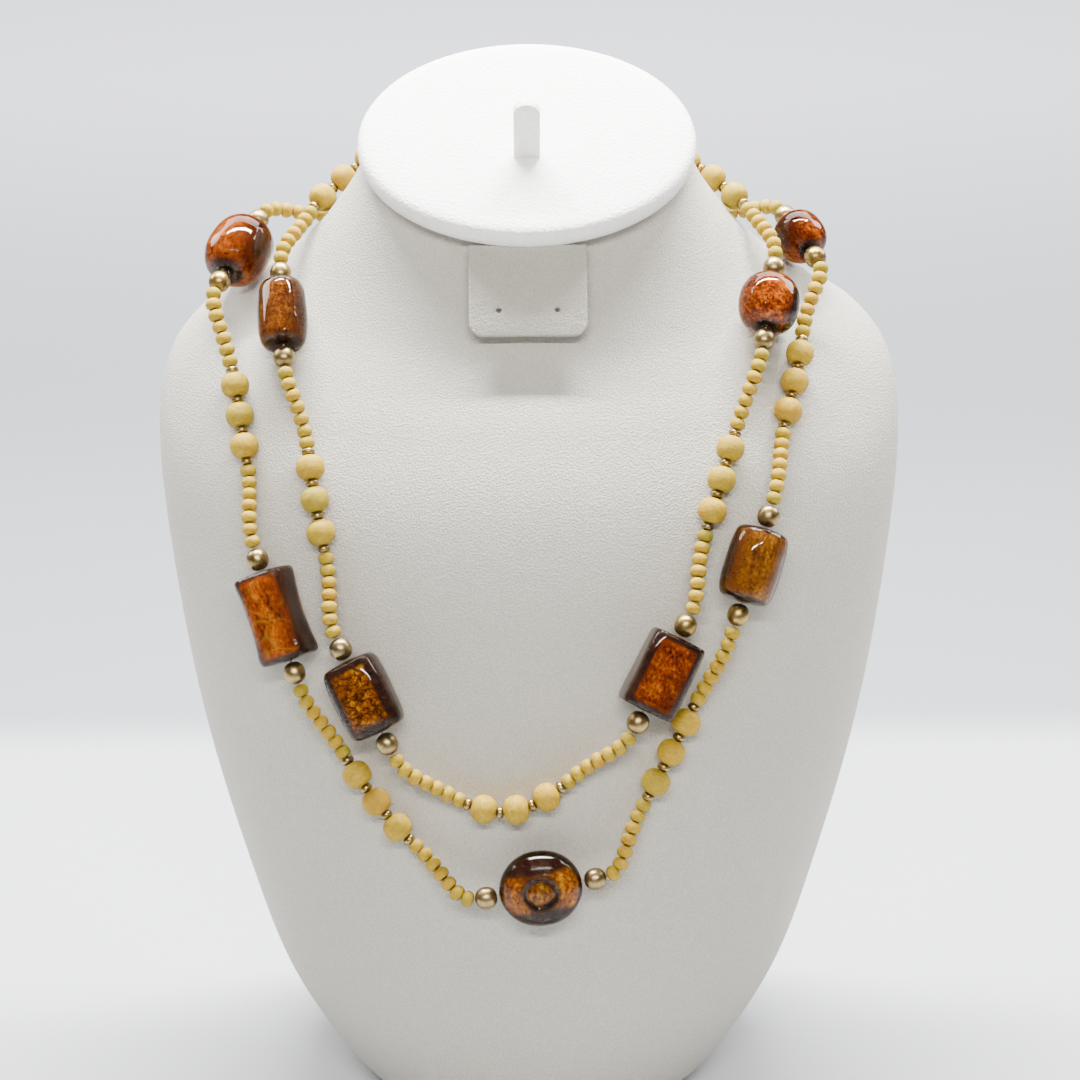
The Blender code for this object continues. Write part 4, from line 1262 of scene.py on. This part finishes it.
def dress_string(path):
    """Bone beads, spacers and metal balls, each kind strung by the same tree."""
    tree = bead_tree()
    runs = [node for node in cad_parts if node.startswith("bead_run")]
    balls = [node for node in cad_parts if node.startswith("metal_ball")]
    bone_small = string_beads("small_bone_beads", path, "small", tree,
                              cream_bone("cream_bone_small", (0.5, 0.5, 1.6)))
    dress(bone_small, "cream_bone", *runs)
    bone_medium = string_beads("medium_bone_beads", path, "medium", tree,
                               cream_bone("cream_bone_medium", (0.35, 0.35, 1.8)))
    dress(bone_medium, "cream_bone")
    spacers = string_beads("metal_spacers", path, "spacer", tree,
                           antique_metal("spacer_metal", SPACER_LENGTH / 2))
    dress(spacers, "antique_metal")
    round_balls = string_beads("antique_metal_balls", path, "ball", tree,
                               antique_metal("ball_metal", BALL_LENGTH / 2))
    dress(round_balls, "antique_metal", *balls)


def glass_sections(form):
    """Smooth sections of a glass bead from one end to the other."""
    table = np.array(GLASS_SKINS[form])
    table = np.vstack([table, table[-2::-1] * (-1, 1, 1, 1)])
    slope = np.gradient(table, axis=0)
    rows = []
    for index in range(len(table) - 1):
        for step in range(GLASS_STEPS):
            rows.append(between(table, slope, index, step / GLASS_STEPS))
    rows.append(table[-1])
    return rows


def glass_rings(form, half_length, half_width, half_thickness, bore):
    """Rings of a strung glass bead along its bore, and back through the bore."""
    angle = 2 * np.pi * (np.arange(GLASS_SKIN_SIDES) + 0.5) / GLASS_SKIN_SIDES
    cosine = np.cos(angle)
    sine = np.sin(angle)
    rings = []
    for place, across, out, squareness in glass_sections(form):
        power = 2 / squareness
        rings.append(np.column_stack([
            half_width * across * np.sign(cosine) * np.abs(cosine) ** power,
            half_thickness * out * np.sign(sine) * np.abs(sine) ** power,
            np.full(GLASS_SKIN_SIDES, half_length * place)]))
    for place in (-BORE_MOUTH, BORE_MOUTH):
        rings.append(np.column_stack([bore * cosine, bore * sine,
                                      np.full(GLASS_SKIN_SIDES, half_length * place)]))
    return rings


def disc_rings(half_length, half_width, half_thickness):
    """Rings of the flat disc round its middle, whose button and ridge stand on both faces."""
    angle = 2 * np.pi * np.arange(GLASS_SKIN_SIDES) / GLASS_SKIN_SIDES
    profile = np.array(DISC_PROFILE)
    profile = np.vstack([profile, profile[-2::-1] * (1, -1)])
    slope = np.gradient(profile, axis=0)
    rings = []
    for index in range(len(profile) - 1):
        for step in range(DISC_STEPS):
            share, rise = between(profile, slope, index, step / DISC_STEPS)
            rings.append(np.column_stack([
                half_width * share * np.cos(angle),
                np.full(GLASS_SKIN_SIDES, half_thickness * rise),
                half_length * share * np.sin(angle)]))
    return rings


def glass_part(name, entry, margin, bore, placement, material):
    """One layer of a glass bead, that far inside its outer skin."""
    _, length, width, thickness, form = entry
    halves = np.array((width, thickness, length)) / 2
    inner = halves - margin
    if form == "disc":
        rings = disc_rings(inner[2], inner[0], inner[1])
    else:
        rings = glass_rings(form, inner[2], inner[0], inner[1], bore)
    part = loft(name, rings, form != "disc", material, GLASS_CREASE)
    data = part.data
    kept = data.attributes.new("bead_place", "FLOAT_VECTOR", "POINT")
    places = np.array([vert.co for vert in data.vertices])
    kept.data.foreach_set("vector", (places / inner).ravel())
    seed = Vector((length, width, thickness)) * LUMP_SPREAD
    for vert in data.vertices:
        lump = (noise.noise(vert.co * LUMP_RATE + seed) - 1.0) * LUMP_DEPTH
        vert.co += Vector((vert.co.x, vert.co.y, 0.0)).normalized() * lump
    data.transform(placement)
    return part


def dress_glass(path):
    """The glass beads: a clear amber skin over a core of crumpled foil."""
    for kind, name, start, end, _ in path.stations():
        if kind != "glass":
            continue
        entry = next(each for each in GLASS if each[0] == name)
        head, out_head = path.at(start)
        tail, out_tail = path.at(end)
        placement = frame_matrix((head + tail) / 2, tail - head, out_head + out_tail)
        look = {**PLAIN_FOIL, **FOILS[name]}
        skin = glass_part(name + "_skin", entry, SKIN_INSET, BORE_WIDTH / 2, placement,
                          clear_amber(name + "_amber", look["tint"]))
        dress(skin, "amber_glass", name)
        core = glass_part(name + "_foil", entry, FOIL_MARGIN, BORE_WIDTH / 2 + FOIL_MARGIN / 2,
                          placement, crumpled_foil(name + "_foil", look))
        dress(core, "amber_glass")


def add_softbox(name, place, aim, width, height, power, colour):
    """A flat lamp at a place, turned to what it is aimed at."""
    data = bpy.data.lights.new(name, "AREA")
    data.shape = "RECTANGLE"
    data.size = width
    data.size_y = height
    data.energy = power
    data.color = colour
    light = bpy.data.objects.new(name, data)
    bpy.context.scene.collection.objects.link(light)
    light.location = place
    light.rotation_mode = "QUATERNION"
    light.rotation_quaternion = (Vector(aim) - Vector(place)).to_track_quat("-Z", "Y")


def set_room():
    """Even pale light from all round."""
    world = bpy.data.worlds.new("studio_room")
    bpy.context.scene.world = world
    world.use_nodes = True
    background = world.node_tree.nodes["Background"]
    background.inputs["Color"].default_value = (*ROOM_COLOUR, 1.0)
    background.inputs["Strength"].default_value = ROOM_STRENGTH


def add_floor():
    """The table and the paper behind it, as one flat sheet under the bust."""
    data = bpy.data.meshes.new("floor")
    half = FLOOR_SIZE / 2
    data.from_pydata([(-half, -half, 0), (half, -half, 0), (half, half, 0), (-half, half, 0)], [],
                     [(0, 1, 2, 3)])
    data.materials.append(paper_with_painted_shade_and_light())
    floor = bpy.data.objects.new("studio_floor", data)
    bpy.context.scene.collection.objects.link(floor)


def add_camera():
    """The camera in front of the chest, looking down on it."""
    pitch = math.radians(CAMERA_PITCH)
    roll = math.radians(CAMERA_ROLL)
    back = Vector((0, -math.cos(pitch), math.sin(pitch)))
    right = Vector((1, 0, 0))
    up = back.cross(right)
    axis_x = right * math.cos(roll) - up * math.sin(roll)
    axis_y = up * math.cos(roll) + right * math.sin(roll)
    turn = Matrix((axis_x, axis_y, back)).transposed().to_4x4()
    data = bpy.data.cameras.new("camera")
    data.lens = CAMERA_LENS
    data.sensor_width = CAMERA_SENSOR
    data.shift_x = CAMERA_SHIFT
    data.clip_start = CAMERA_NEAREST
    data.clip_end = CAMERA_FARTHEST
    camera = bpy.data.objects.new("camera", data)
    bpy.context.scene.collection.objects.link(camera)
    camera.matrix_world = Matrix.Translation(Vector(CAMERA_TARGET) + back * CAMERA_DISTANCE) @ turn
    bpy.context.scene.camera = camera


def dress_necklace():
    """The bust first, then the string, which is laid on it."""
    # Painted shade: the chest and the earring card are darker copies of the oval top's white
    # leatherette
    chest = leatherette("chest_white_painted_shade", (0.50, 0.477, 0.422), (0.36, 0.341, 0.292), 0.00055, 0.50)
    top = leatherette("oval_white", (0.93, 0.925, 0.905), (0.84, 0.83, 0.80), 0.0008, 0.48)
    card = leatherette("card_white_painted_shade", (0.41, 0.39, 0.33), (0.32, 0.30, 0.25), 0.0006, 0.50)
    dress_bust(chest)
    dress_oval_top(top)
    dress_flap(card)
    dress_tab(top)
    path = lay_string(Skin())
    dress_string(path)
    dress_thread(path, waxed_thread())
    dress_glass(path)


add_camera()
set_room()
add_floor()
for label, (place, aim, width, height, power, colour) in SOFTBOXES.items():
    add_softbox(label, place, aim, width, height, power, colour)
dress_necklace()
